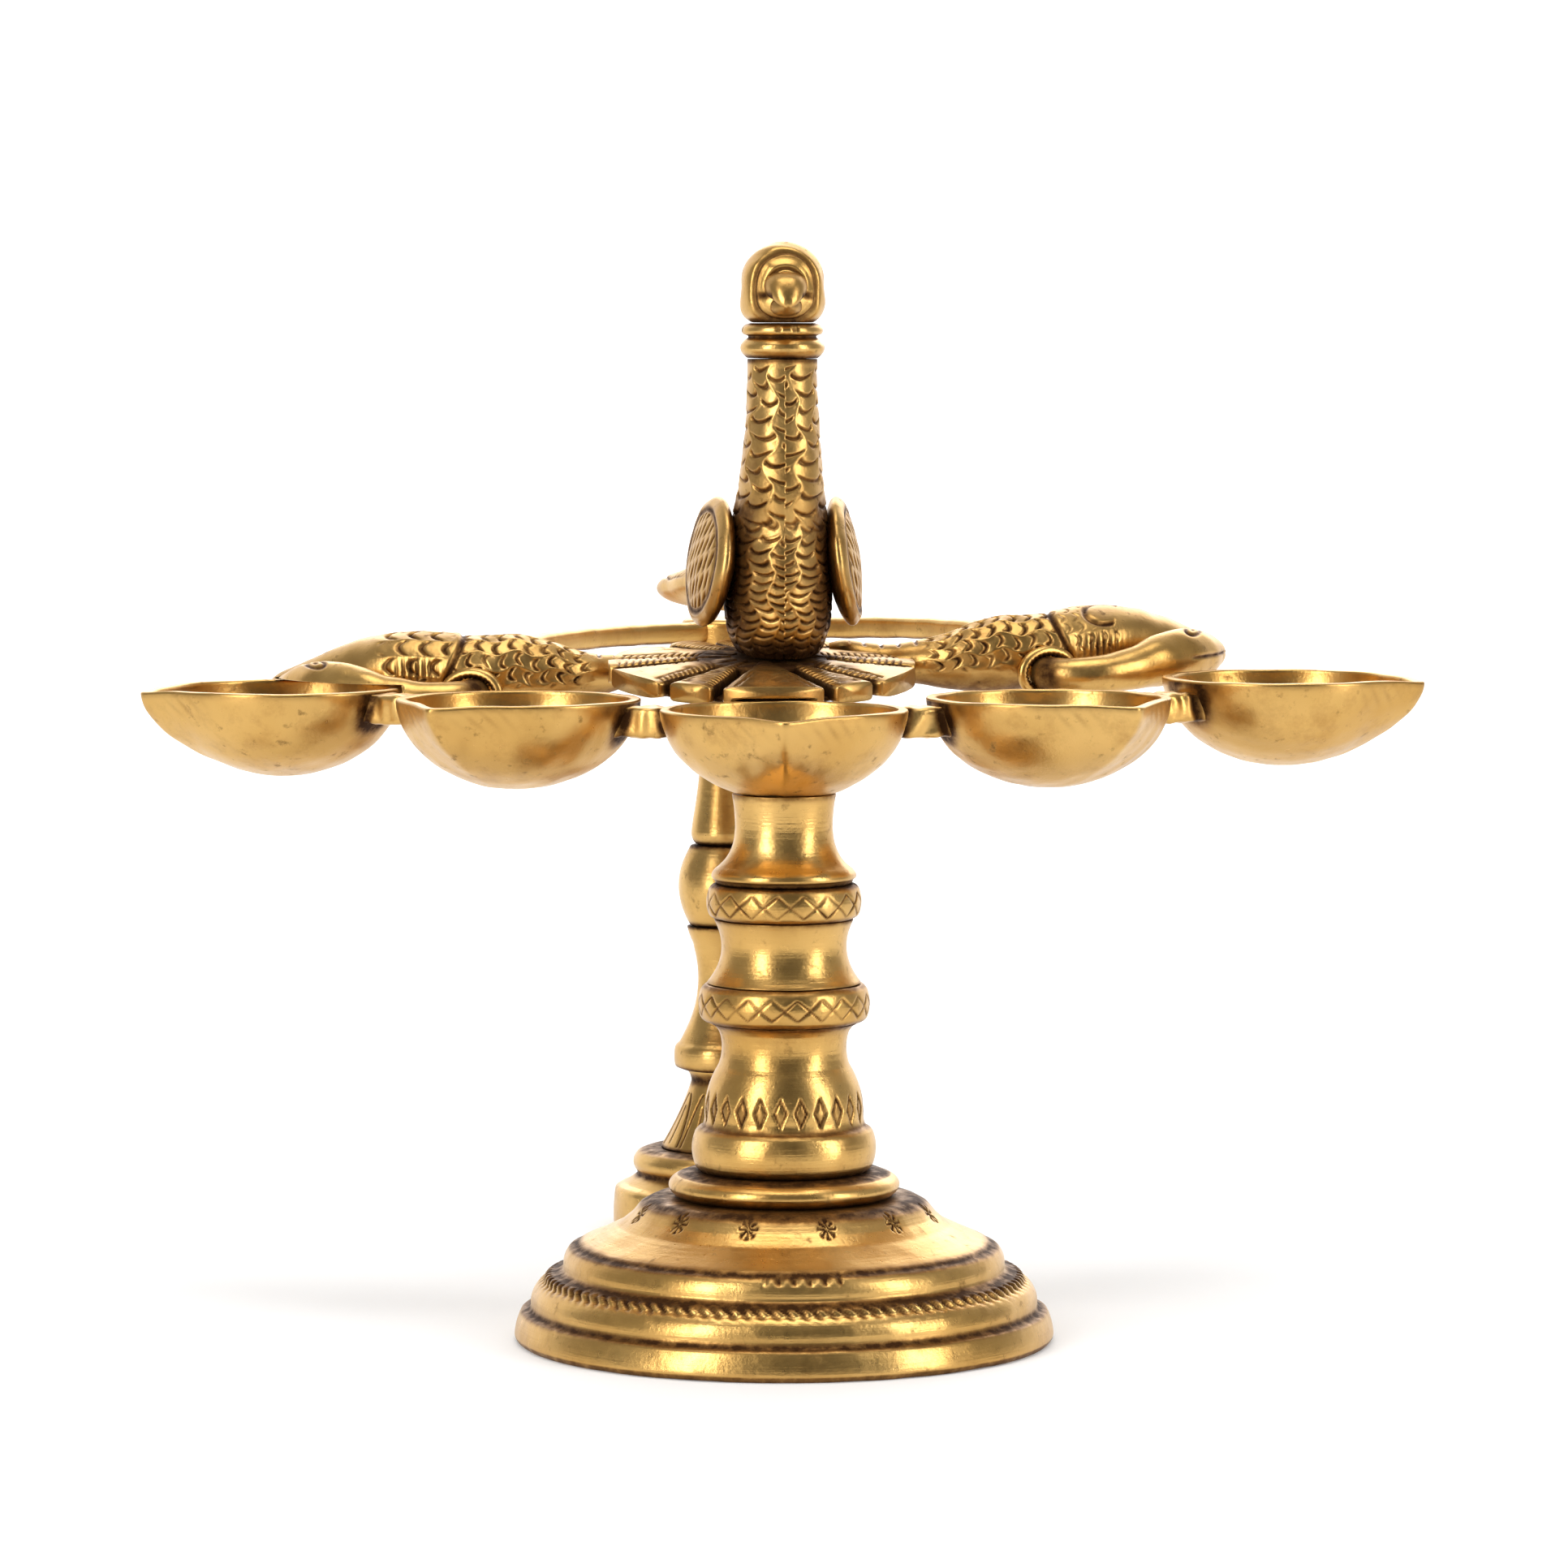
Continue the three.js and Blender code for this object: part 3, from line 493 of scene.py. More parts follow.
def make_front_column():
    collar, lower, lower_ring, middle, upper_ring, neck = 22.4, 26.4, 49.5, 55.5, 65.6, 71.0
    turned("front_collar_visual", bored([
        (16.6, collar), *bow((17.2, 22.8), (17, 25.5), 0.85, 8), (16.2, 25.9), (14.4, lower - SEAM),
    ]), "front_base_collar", segments=240, step=0.22,
        grime=lambda r, z: 0.9 * bell(z - collar, 0.4) + 0.95 * bell(z - 26.2, 0.45) * (r < 16.6))

    def lozenges(angle, r, z):
        across = (((angle * 24 / TAU) % 1) - 0.5) * TAU * r / 24
        away = np.abs(across) / 1.05 + np.abs(z - 36.5) / 2.3
        groove = bell(away - 0.92, 0.16) * (r > 5)
        inside = (away < 0.85) * (r > 5)
        edge = bell(z - 33.4, 0.5) * (r > 11)
        return -0.4 * groove - 0.12 * inside, 0.95 * groove + 0.2 * inside + 0.5 * edge

    turned("front_lower_visual", bored([
        (13.1, lower), (13.6, 26.9), *bow((13.9, 27.4), (13.8, 32.5), 0.45, 5), (13.3, 33.1), (12.6, 33.4),
        *bow((12.3, 34.4), (10.1, 42.9), 0.7, 8), *bow((9.8, 44), (10.1, 48), -0.25, 4),
        (10.7, 48.9), (11.6, lower_ring - SEAM),
    ]), "front_column_lower", segments=300, step=0.24, relief=lozenges,
        grime=stains((lower, 0.9, 0.5), (49.3, 0.6, 0.5)))
    turned("front_ring_lower_visual", bored([
        (11.9, lower_ring), (12.5, 49.8), *bow((12.9, 50.2), (12.9, 54.6), 0.4, 6),
        (12.6, 55), (12.2, middle - SEAM),
    ]), "front_ring_lower", segments=300, step=0.22,
        relief=lambda a, r, z: diamonds(a, r, z, 21, 50.7, 54.1, 0.24),
        grime=stains((lower_ring, 0.5, 0.5), (55.2, 0.35, 0.4)))
    turned("front_middle_visual", bored(bow((12, middle), (10.9, upper_ring - SEAM), -1.7, 12)),
           "front_column_middle", segments=200, step=0.3,
           grime=stains((upper_ring, 0.6, 0.5), (middle, 0.2, 0.5)))
    turned("front_ring_upper_visual", bored([
        (10.9, upper_ring), (11.4, 65.9), *bow((11.7, 66.3), (11.7, 70), 0.3, 6),
        (11.5, 70.5), (11, neck - SEAM),
    ]), "front_ring_upper", segments=300, step=0.22,
        relief=lambda a, r, z: diamonds(a, r, z, 18, 66.3, 69.9, 0.24),
        grime=stains((neck, 0.95, 0.45), (upper_ring, 0.4, 0.4)))

    top_radius, bore_top = 8.1, 79
    radius, depth, rim = 19.2, 14.4, 98
    seat = [(top_radius * s, rim - depth / radius * math.sqrt(radius**2 - (top_radius * s) ** 2))
            for s in np.linspace(1, 0.02, 10)]
    turned("front_neck_visual", [
        (0.02, bore_top), (BORE, bore_top), (BORE, neck),
        (10.6, neck), (10.7, 71.5), (11.3, 71.9), (11.2, 72.6), *bow((10.7, 73.2), (7.6, 79), -0.8, 10),
        *bow((7.55, 79.4), (top_radius, seat[0][1]), -0.15, 6), *seat,
    ], "front_column_neck", segments=200, step=0.25, closed=False,
        grime=lambda r, z: 0.95 * bell(z - neck, 0.6) * (r > 8) + 0.3 * bell(z - 84.6, 0.5))


def make_rear_pedestal():
    bell_z, spindle, barrel, upper, junction = 13.5, 27.2, 52.2, 66.3, 100.4
    turned("rear_base_visual", [
        (19.2, 0), *bow((19.4, 0.6), (19.2, 6.4), 0.15, 4), (18.9, 6.8), (17.4, 7.4),
        (15.6, 8.6), (15.2, 8.9),
        *bow((15.3, 9.4), (15.1, 12.8), 0.8, 8), (13.4, bell_z - SEAM), (BORE, bell_z - SEAM), (BORE, 10),
        (12.4, 10), (15.6, 4), (16.4, 0),
    ], "rear_base", y=REAR_Y, segments=260, step=0.3,
        grime=lambda r, z: (0.9 * bell(z - 9.0, 0.4) * (r > 13) + 0.7 * bell(z - 13.3, 0.4)
                            + 0.5 * (z < 9.9) * (r < 15.5)))

    def petals(angle, r, z):
        share = np.clip((z - 14.3) / 9.0, 0, 1)
        across = ((angle * 10 / TAU) % 1 - 0.5) * 2
        half = np.sqrt(np.clip(1 - share**2, 0, 1)) * 0.86
        cell = TAU * r / 20
        edge = bell((np.abs(across) - half) * cell, 0.2) * (share < 0.99) * (z > 14.2)
        vein = bell(across * cell, 0.14) * (share < 0.75) * (z > 14.6)
        cut = np.maximum(edge, 0.7 * vein) * (r > 4)
        return -0.25 * cut, 0.8 * cut

    turned("rear_bell_visual", bored([
        *bow((11.2, bell_z), (5.8, 25.2), -0.4, 10), (6, 26), (6.6, spindle - SEAM),
    ]), "rear_bell", y=REAR_Y, segments=260, step=0.22, relief=petals,
        grime=stains((bell_z, 0.9, 0.4), (25.4, 0.9, 0.8)))
    turned("rear_spindle_visual", bored([
        (7.9, spindle), (8.5, 27.4), *bow((8.7, 27.8), (8.7, 31), 0.15, 4), (8.4, 31.5), (7.9, 31.8),
        *bow((6.9, 33.8), (5.4, 48.4), -1.4, 10), *bow((5.5, 49), (6.6, barrel - SEAM), 0.1, 3),
    ]), "rear_spindle", y=REAR_Y, segments=160, step=0.28,
        grime=stains((spindle, 0.9, 0.5), (barrel, 0.9, 0.45)))
    turned("rear_barrel_visual", bored(bow((6, barrel), (5.9, upper - SEAM), 2.1, 14)), "rear_barrel",
           y=REAR_Y, segments=160, step=0.28,
           grime=stains((barrel, 0.9, 0.5), (upper, 0.95, 0.5)))
    turned("rear_stem_visual", bored([
        (5, upper), (5.5, 66.8), *bow((5.8, 67.5), (5.8, 69.1), 0.1, 3), *bow((5.7, 69.8), (4, 92), -0.6, 10),
        *bow((4.05, 92.6), (4.4, 96), -0.15, 4), *bow((4.6, 96.8), (6.2, junction - SEAM), -0.2, 4),
    ]), "rear_upper_stem", y=REAR_Y, segments=160, step=0.3,
        grime=stains((upper, 0.95, 0.6), (junction, 0.7, 0.5)))
    top, bore_top, radius = 105.6, 103.4, 7.5
    turned("rear_junction_visual", [
        (0.02, bore_top), (BORE, bore_top), (BORE, junction),
        (radius - 0.3, junction), (radius, junction + 0.4), (radius, top - 1), (radius - 0.4, top - 0.4),
        *bow((radius - 1, top - 0.1), (0.02, top), 0.0, 4),
    ], "rear_junction", y=REAR_Y, segments=160, step=0.25, closed=False,
        grime=stains((junction, 0.6, 0.5)))


# ---------------------------------------------------------------- grids that aren't turned


def smooth_path(stations, count):
    """`count` rows along a smooth curve through the stations, whatever their columns are."""
    rows = np.array(stations, float)
    steps = np.linalg.norm(np.diff(rows[:, :3], axis=0), axis=1)
    knots = np.concatenate([[0], np.cumsum(steps)])
    slope = np.gradient(rows, knots, axis=0)
    where = np.linspace(0, knots[-1], count)
    k = np.clip(np.searchsorted(knots, where, side="right") - 1, 0, len(rows) - 2)
    span = knots[k + 1] - knots[k]
    t = ((where - knots[k]) / span)[:, None]
    span = span[:, None]
    return (rows[k] * (2 * t**3 - 3 * t**2 + 1) + slope[k] * span * (t**3 - 2 * t**2 + t)
            + rows[k + 1] * (3 * t**2 - 2 * t**3) + slope[k + 1] * span * (t**3 - t**2)), where


def swept(stations, rows, columns, flat=1.0, relief=None):
    """A grid along stations of (x, y, z, half width, half height), as rounded upright sections.
    `relief(along, angle, place)` gives its cuts as (height, darkening), the darkening being patina and
    painted shade."""
    path, along = smooth_path(stations, rows)
    ahead = np.gradient(path[:, :3], axis=0)
    ahead[:, 2] = 0
    ahead /= np.linalg.norm(ahead, axis=1, keepdims=True)
    side = np.stack([-ahead[:, 1], ahead[:, 0], np.zeros(rows)], 1)
    angle = np.arange(columns) * TAU / columns
    across, up = squared(np.cos(angle), flat), squared(np.sin(angle), flat)
    width, height = np.maximum(path[:, 3:4], 0.02), np.maximum(path[:, 4:5], 0.02)
    grid = path[:, None, :3] + side[:, None, :] * (width * across)[..., None]
    grid[..., 2] += height * up
    patina_and_shade = np.zeros((rows, columns))
    if relief:
        push, dark = relief(along[:, None], angle[None, :], grid)
        grid = grid + grid_normals(grid) * push[..., None]
        patina_and_shade = patina_and_shade + dark
    return grid, patina_and_shade


def globe(centre, radii, rows, columns, pole=(0, 0, 1), relief=None):
    """An ellipsoid grid whose rows run from the far pole to the near pole at `pole`. `relief(place)` gives
    its cuts as (height, patina)."""
    pole = np.array(pole, float)
    other = np.array([0, 0, 1.0]) if abs(pole[2]) < 0.9 else np.array([1.0, 0, 0])
    u = other - pole * (other @ pole)
    u /= np.linalg.norm(u)
    v = np.cross(pole, u)
    down = np.linspace(0.985, 0.015, rows)[:, None] * math.pi  # the angle from the pole
    angle = np.arange(columns)[None, :] * TAU / columns
    unit = (np.cos(down)[..., None] * pole + (np.sin(down) * np.cos(angle))[..., None] * u
            + (np.sin(down) * np.sin(angle))[..., None] * v)
    grid = unit * np.array(radii, float)
    patina_and_shade = np.zeros(grid.shape[:2])
    if relief:
        push, dark = relief(grid)
        grid = grid + grid_normals(grid) * push[..., None]
        patina_and_shade = patina_and_shade + dark
    return grid + np.array(centre, float), patina_and_shade


def on_the_left(grid, patina_and_shade):
    """The mirror image of a grid drawn on the lamp's right."""
    return grid[:, ::-1] * np.array([-1.0, 1, 1]), patina_and_shade[:, ::-1]


def joined(name, grids, material, node, mirror=False, settle=None):
    """One piece from several closed bodies, each an open grid and its patina and painted shade, closed by end
    fans.
    A mirrored piece stands on the lamp's left, and `settle` puts each grid in its final place."""
    points, faces, shades, first = [], [], [], 0
    for grid, patina_and_shade in grids:
        if mirror:
            grid, patina_and_shade = on_the_left(grid, patina_and_shade)
        if settle:
            grid = settle(grid)
        rows, columns = grid.shape[:2]
        faces += faces_of(rows, columns, first)
        points.append(grid.reshape(-1, 3))
        points.append(np.stack([grid[0].mean(0), grid[-1].mean(0)]))
        shades += [patina_and_shade.reshape(-1), [patina_and_shade[0].mean(), patina_and_shade[-1].mean()]]
        faces += end_fans(rows, columns, first)
        first += rows * columns + 2
    solid(name, np.vstack(points), faces, np.concatenate(shades), material, node)


def pair(name, build, material, node, settle=None):
    """Makes a piece on the right and its mirror image, cut by hand a little differently, on the left."""
    for side, mirror in (("right", False), ("left", True)):
        joined(f"{name}_{side}_visual", build(mirror), material, f"{node}_{side}", mirror, settle)


# ---------------------------------------------------------------- bowls and links

BOWL_RADIUS, BOWL_DEPTH, BOWL_WALL, RIM_Z = 19.2, 14.4, 1.7, 98.0
SPOUT = 23.6 / BOWL_RADIUS
FAN_TURN = math.radians(-4.6)  # how far the fan of bowls is turned on the front column


def bowl_at(x, y, turn, rise):
    """A bowl at a place in the fan: its x, y, the spout's turn from straight ahead, and its rise."""
    cos, sin = math.cos(FAN_TURN), math.sin(FAN_TURN)
    return x * cos - y * sin, x * sin + y * cos, math.radians(turn) + FAN_TURN, rise


BOWLS = {
    "outer_left": bowl_at(-80, 38, -75, 1),
    "inner_left": bowl_at(-41.5, 14.5, -35, 0.7),
    "centre": bowl_at(0, 0, 0, 0),
    "inner_right": bowl_at(41.5, 14.5, 35, 0.9),
    "outer_right": bowl_at(80, 38, 75, 2.6),
}
LINKS = {
    "inner_right": ("centre", "inner_right"), "inner_left": ("centre", "inner_left"),
    "outer_right": ("inner_right", "outer_right"), "outer_left": ("inner_left", "outer_left"),
}


def rest_on_bowls(grid):
    """Lifts what would lie inside a bowl or its rim to just above the rim."""
    for x, y, _, rise in BOWLS.values():
        inside = np.hypot(grid[..., 0] - x, grid[..., 1] - y) < BOWL_RADIUS + 0.4
        lifted = np.maximum(grid[..., 2], RIM_Z + rise + 0.35)
        grid[..., 2] = np.where(inside, lifted, grid[..., 2])
    return grid


def bowl_grid(bowl, joints, seed):
    """A bowl from its bottom, up the outside, over the flat rim and down the inside. `joints` are the
    directions in which links are soldered on, in radians."""
    x, y, turn, rise = bowl
    columns = 256
    t = np.arange(columns) / columns
    angle = TAU * t - 0.72 * np.sin(TAU * t)
    off = np.minimum(angle, TAU - angle)
    off = np.sqrt(off**2 + 0.035**2)
    forward = turn - math.pi / 2
    outer = np.radians(np.concatenate([np.linspace(1.2, 80, 46), np.linspace(81.5, 88.9, 7)]))
    inner = np.radians(np.concatenate([np.linspace(88.9, 80, 6), np.linspace(78, 1.2, 34)]))
    rows = []  # ring radius, drop below the rim, share of the spout, share of the wick dip
    for a in outer:
        rows.append((BOWL_RADIUS * math.sin(a), BOWL_DEPTH * math.cos(a), math.sin(a) ** 3, math.sin(a) ** 9))
    for inset, drop in ((0.08, 0.1), (0.25, 0.01), (0.5, 0), (0.85, 0), (1.2, 0), (1.45, 0.01), (1.62, 0.1)):
        rows.append((BOWL_RADIUS - inset, drop, 1, 1))
    for a in inner:
        rows.append(((BOWL_RADIUS - BOWL_WALL) * math.sin(a), (BOWL_DEPTH - BOWL_WALL) * math.cos(a),
                     math.sin(a) ** 3, math.sin(a) ** 9))
    ring, drop, spout, dip = (np.array(column)[:, None] for column in zip(*rows))
    reach = ring * (1 + (SPOUT - 1) * spout)
    tangent = np.arccos(ring / reach)
    far = np.where(off[None, :] < tangent, ring / np.cos(tangent - off[None, :]), ring)
    z = RIM_Z + rise - drop - 0.45 * bell(off[None, :], 0.2) * dip
    heading = forward + angle[None, :]
    grid = np.stack(np.broadcast_arrays(x + far * np.cos(heading), y + far * np.sin(heading), z), -1)

    low = step_up(drop, 0.6, 4)
    push = 0.1 * (wobble(grid, 17, seed) - 1) * low + 0.05 * (wobble(grid, 5, seed + 7) - 1) * low
    outside = (np.arange(len(rows)) < len(outer))[:, None]
    filed = np.sin(heading * 46 + z * 2.2) * bell(off[None, :] - 0.42, 0.22) * bell(drop - 2.4, 1.5) * outside
    push = push - 0.06 * np.clip(filed, 0, 1)
    grid[..., 2] += (0.06 * (wobble(grid, 11, seed + 3) - 1)) * (drop < 0.3)
    patina_and_shade = 0.25 * (~outside) * step_up(drop, 7, 13) + 0.12 * np.clip(filed, 0, 1)
    patina_and_shade = patina_and_shade + 0.12 * bell(drop - 0.5, 0.5) * outside
    for joint in joints:
        across = ((heading - joint + math.pi) % TAU - math.pi) * far
        around = np.hypot(across / 3.6, (drop - 2.6) / 3.2)
        patina_and_shade = patina_and_shade + 1.2 * bell(around - 1.05, 0.42) * outside * (drop > 0.35)
    grid = grid + grid_normals(grid) * np.minimum(push, 0)[..., None]
    return grid, np.clip(patina_and_shade, 0, 1)


def toward(a, b):
    return math.atan2(b[1] - a[1], b[0] - a[0])


def make_bowls():
    for number, (name, bowl) in enumerate(BOWLS.items()):
        joints = [toward(bowl, BOWLS[b if a == name else a]) for a, b in LINKS.values() if name in (a, b)]
        joined(f"bowl_{name}_visual", [bowl_grid(bowl, joints, 11 + 13 * number)], POLISHED, f"bowl_{name}")


def link_grid(a, b, seed):
    """A soldered link: a small block, a little waisted, with dark solder at both ends."""
    heading = toward(a, b)
    along = np.array([math.cos(heading), math.sin(heading), 0])
    side = np.array([-along[1], along[0], 0])
    middle = np.array([(a[0] + b[0]) / 2, (a[1] + b[1]) / 2, 0])
    gap = math.hypot(b[0] - a[0], b[1] - a[1]) - 2 * BOWL_RADIUS
    top = RIM_Z + min(a[3], b[3]) - 0.05
    rows, columns = 48, 72
    angle = np.arange(columns) * TAU / columns
    soft = 0.32
    c, d = squared(np.cos(angle)[None, :], soft), squared(np.sin(angle)[None, :], soft)
    share = np.linspace(-1, 1, rows)[:, None]
    depth = 2.55 - 2.55 * d
    off = 3.4 * c
    wall = BOWL_RADIUS * np.sqrt(1 - (depth / BOWL_DEPTH) ** 2)
    half = gap / 2 + BOWL_RADIUS + 0.9 - np.sqrt(wall**2 - off**2)
    s = share * half
    waist = 1 - 0.07 * (1 - share**2)
    grid = middle + along * s[..., None] + side * (off * waist)[..., None]
    grid[..., 2] = top - depth
    push = 0.14 * (wobble(grid, 3.2, seed) - 1)
    solder = bell(np.abs(s) - (half - 1.3), 0.85) * (d < 0.95)
    grid = grid + grid_normals(grid) * (push - 0.25 * solder)[..., None]
    return grid, np.broadcast_to(np.clip(1.2 * solder, 0, 1), grid.shape[:2])


def make_links():
    for number, (name, (a, b)) in enumerate(LINKS.items()):
        grid = link_grid(BOWLS[a], BOWLS[b], 51 + number)
        joined(f"link_{name}_visual", [grid], POLISHED, f"link_{name}")


# ---------------------------------------------------------------- lotus plate

HUB_RADIUS, HUB_BOTTOM, HUB_EDGE, HUB_RISE = 24.7, 99.5, 3.2, 1.0
HUB_TILT = math.radians(5.6)  # the plate slopes down towards the centre bowl
PETAL_SLOTS = [-21.5, 21.5, 43.5, 84, 104, 144, 164, 196, 216, 256, 276, 316.5, 338.5]


def tilted(grid):
    """Tilts a grid with the plate."""
    y, z = grid[..., 1] - HUB_Y, grid[..., 2] - HUB_BOTTOM
    grid[..., 1] = HUB_Y + y * math.cos(HUB_TILT) - z * math.sin(HUB_TILT)
    grid[..., 2] = HUB_BOTTOM + y * math.sin(HUB_TILT) + z * math.cos(HUB_TILT)
    return grid


def plate_settle(grid):
    return rest_on_bowls(tilted(grid))


def petal_grid(k):
    """One petal: a bar whose top slopes down outward, with ticks chiselled along its edges."""
    first, last = (math.radians(slot - 90) for slot in PETAL_SLOTS[k:k + 2])
    rows, columns = 120, 96
    r = np.linspace(5.0, HUB_RADIUS, rows)[:, None]
    blunt = np.sqrt(np.clip(1 - ((r - 23.3) / 1.55).clip(0) ** 2, 0.02, 1))
    half = np.maximum(r * (last - first) / 2 - 0.75 - 1.0 * (1 - blunt), 0.1)
    top = HUB_EDGE + HUB_RISE * (HUB_RADIUS - r).clip(0, HUB_RADIUS - 9) / (HUB_RADIUS - 9)
    angle = np.arange(columns) * TAU / columns + 1e-6
    soft = 0.3
    c, d = squared(np.cos(angle), soft)[None, :], squared(np.sin(angle), soft)[None, :]
    across = half * c
    crown = 0.35 * (1 - np.abs(c) ** 2.4) * (d > 0)
    z = top * (0.5 + 0.5 * d) + (crown - 0.35) * (d > 0) * (0.4 + 0.6 * blunt)
    from_edge = half - np.abs(across)
    on_top = (d > 0.85)
    tick = np.clip(np.sin(r * TAU / 1.15 + np.sign(c) * from_edge * 1.4), 0.35, 1) - 0.35
    band = step_up(from_edge, 0.15, 0.35) * (1 - step_up(from_edge, 1.5, 1.9)) * on_top * (k > 0)
    band = band * step_up(r, 9.5, 11) * (1 - step_up(r, 22.8, 23.6))
    line = bell(from_edge - 2.05, 0.18) * on_top * step_up(r, 13, 15) * (r < 23.4)
    z = z - 0.42 * tick * band - 0.25 * line
    patina_and_shade = 1.3 * tick * band + 0.7 * line + 0.9 * (1 - step_up(r, 9, 13.5)) * (d > 0)
    sides = (np.abs(c) > 0.93) & (d < 0.9)
    patina_and_shade = patina_and_shade + 0.85 * sides * (1 - step_up(r, 23.2, 24.0))
    patina_and_shade = patina_and_shade + 0.25 * on_top * bell(from_edge, 0.25)
    heading = (first + last) / 2 + across / r
    grid = np.stack([r * np.cos(heading), HUB_Y + r * np.sin(heading), HUB_BOTTOM + z], -1)
    grid[..., 2] += 0.05 * (wobble(grid, 4, 70 + k) - 1) * on_top
    return grid, np.clip(patina_and_shade, 0, 1)


def disc_grid(radius, low, high):
    """A flat round plate as rows from the middle of its underside to the middle of its top."""
    columns = 120
    profile = even([(0.05, low), (radius, low), (radius, high), (0.05, high)], 0.4, False)
    r, z = profile[:, :1], profile[:, 1:]
    angle = np.arange(columns) * TAU / columns
    grid = np.stack(np.broadcast_arrays(r * np.cos(angle), r * np.sin(angle) + HUB_Y, z), -1)
    return grid, np.ones(grid.shape[:2])


def lug_settle(grid):
    """Tilts the lug with the plate, and hollows it to the centre bowl's side."""
    grid = tilted(grid)
    depth = (RIM_Z - grid[..., 2]).clip(0, BOWL_DEPTH)
    reach = (BOWL_RADIUS + 0.4) * np.sqrt(1 - (depth / (BOWL_DEPTH + 0.4)) ** 2)
    away = np.sqrt((reach**2 - grid[..., 0] ** 2).clip(0))
    grid[..., 1] = np.maximum(grid[..., 1], away)
    return grid


def make_lotus():
    bodies = [petal_grid(k) for k in range(len(PETAL_SLOTS) - 1)]
    bodies.append(disc_grid(10.5, HUB_BOTTOM, HUB_BOTTOM + HUB_EDGE + HUB_RISE - 0.3))
    bodies.append(disc_grid(22.4, HUB_BOTTOM + 0.05, HUB_BOTTOM + 0.8))
    joined("lotus_plate_visual", bodies, ANTIQUE, "lotus_plate", settle=plate_settle)
    lug, patina_and_shade = swept([(0, 17.2, 96.6, 4.4, 2.5), (0, 19, 96.6, 4.9, 2.75), (0, 23, 96.6, 4.9, 2.75),
                         (0, 28, 96.6, 4.9, 2.75), (0, 29.3, 96.6, 4.4, 2.4)], 40, 64, flat=0.35)
    joined("lotus_lug_visual", [(lug, patina_and_shade + 0.5)], ANTIQUE, "lotus_lug", settle=lug_settle)


# ---------------------------------------------------------------- peacock

NECK_Y = HUB_Y - 5
PEACOCK_X = 2.9  # the bird stands a little to the right of the plate's centre
BODY_LEVELS = [  # z, half width, half depth, y from the hub
    (103.0, 5.8, 8.2, 1.8), (104.6, 7.0, 10, 2.3), (107.5, 8.2, 12.8, 3.0),
    (112, 8.8, 15, 4), (118, 8.8, 15.5, 4), (124, 8.1, 13, 2),
    (129.5, 7.2, 9.6, -2), (136, 6.4, 7.2, -4.4), (143, 5.9, 6.2, -5), (151.3, 5.6, 5.7, -5),
]


def scales(across, rows_at, half_width, seed, drop, cut):
    """Staggered U-shaped scales as (groove, tilt). `across` counts columns of scales, and `rows_at` rows."""
    column = np.floor(across)
    u = (across - column) * 2 - 1
    phase = rows_at - drop * u**2 + 0.5 * (column % 2)
    rng = np.random.default_rng(seed)
    jitter = rng.uniform(-0.16, 0.16, (97, 89))
    depth = rng.uniform(0.55, 1.1, (97, 89))
    ci = column.astype(int) % 97
    phase = phase + jitter[ci, 0] * 0.8
    row = np.floor(phase)
    ri = row.astype(int) % 89
    above = phase - row
    near = np.minimum(above, 1 - above) * half_width
    reach = step_up(1 - np.abs(u), 0.02, 0.3)
    groove = bell(near, cut) * reach * depth[ci, ri]
    tilt = above * reach * 0.55
    return groove, tilt


def to_the_right(grid):
    return grid + np.array([PEACOCK_X, 0, 0])


def on_the_plate(grid):
    """Stands the bird on the sloping plate."""
    grid = to_the_right(grid)
    away = np.hypot(grid[..., 0], grid[..., 1] - HUB_Y)
    slope = HUB_RISE * (HUB_RADIUS - away.clip(9, HUB_RADIUS)) / (HUB_RADIUS - 9)
    top = HUB_BOTTOM + HUB_EDGE + slope + (grid[..., 1] - HUB_Y) * math.tan(HUB_TILT) + 0.3
    grid[..., 2] = np.maximum(grid[..., 2], top)
    return grid


def body_grid():
    rows, columns = 420, 320
    levels = np.array(BODY_LEVELS)
    stations = np.column_stack([np.zeros(len(levels)), np.zeros(len(levels)), levels])
    path, _ = smooth_path(stations, rows)
    z, rx, ry, dy = (path[:, k:k + 1] for k in (2, 3, 4, 5))
    angle = np.arange(columns)[None, :] * TAU / columns - math.pi / 2
    grid = np.stack(np.broadcast_arrays(rx * np.cos(angle), HUB_Y + dy + ry * np.sin(angle), z), -1)

    turn = (angle + math.pi / 2) / TAU
    coarse = np.interp(z, [104, 118, 124, 152], [0, 9.6, 12.7, 23.0])
    drift = 0.22 * np.sin(z * 0.9) + 0.18 * np.sin(z * 0.37 + angle * 2)
    neck_cut, neck_tilt = scales(turn * 9 + 0.5 + drift, coarse, 2.6, 3, 0.42, 0.26)
    low_cut, low_tilt = scales(turn * 15 + 0.5 + drift, coarse, 1.5, 4, 0.5, 0.2)
    share = step_up(z, 121, 128)
    groove = neck_cut * share + low_cut * (1 - share)
    tilt = neck_tilt * share + low_tilt * (1 - share)
    fade = 1 - step_up(z, 149.6, 150.6)
    push = -(0.4 * groove + 0.2 * tilt) * fade - 0.08 * (1 + wobble(grid, 6, 5))
    patina_and_shade = 1.0 * groove * fade * (1 - 0.2 * share)
    patina_and_shade = patina_and_shade + 0.95 * (1 - step_up(z, 104.6, 107.2)) + 0.8 * step_up(z, 150.3, 151.3)
    beside_wing = bell(np.abs(np.cos(angle)) - 1.0, 0.35) * step_up(z, 106, 109) * (1 - step_up(z, 126, 131))
    patina_and_shade = patina_and_shade + 0.9 * beside_wing * (np.sin(angle) < 0.55)
    grid = grid + grid_normals(grid) * np.minimum(push, 0)[..., None]
    return grid, np.clip(patina_and_shade, 0, 1)


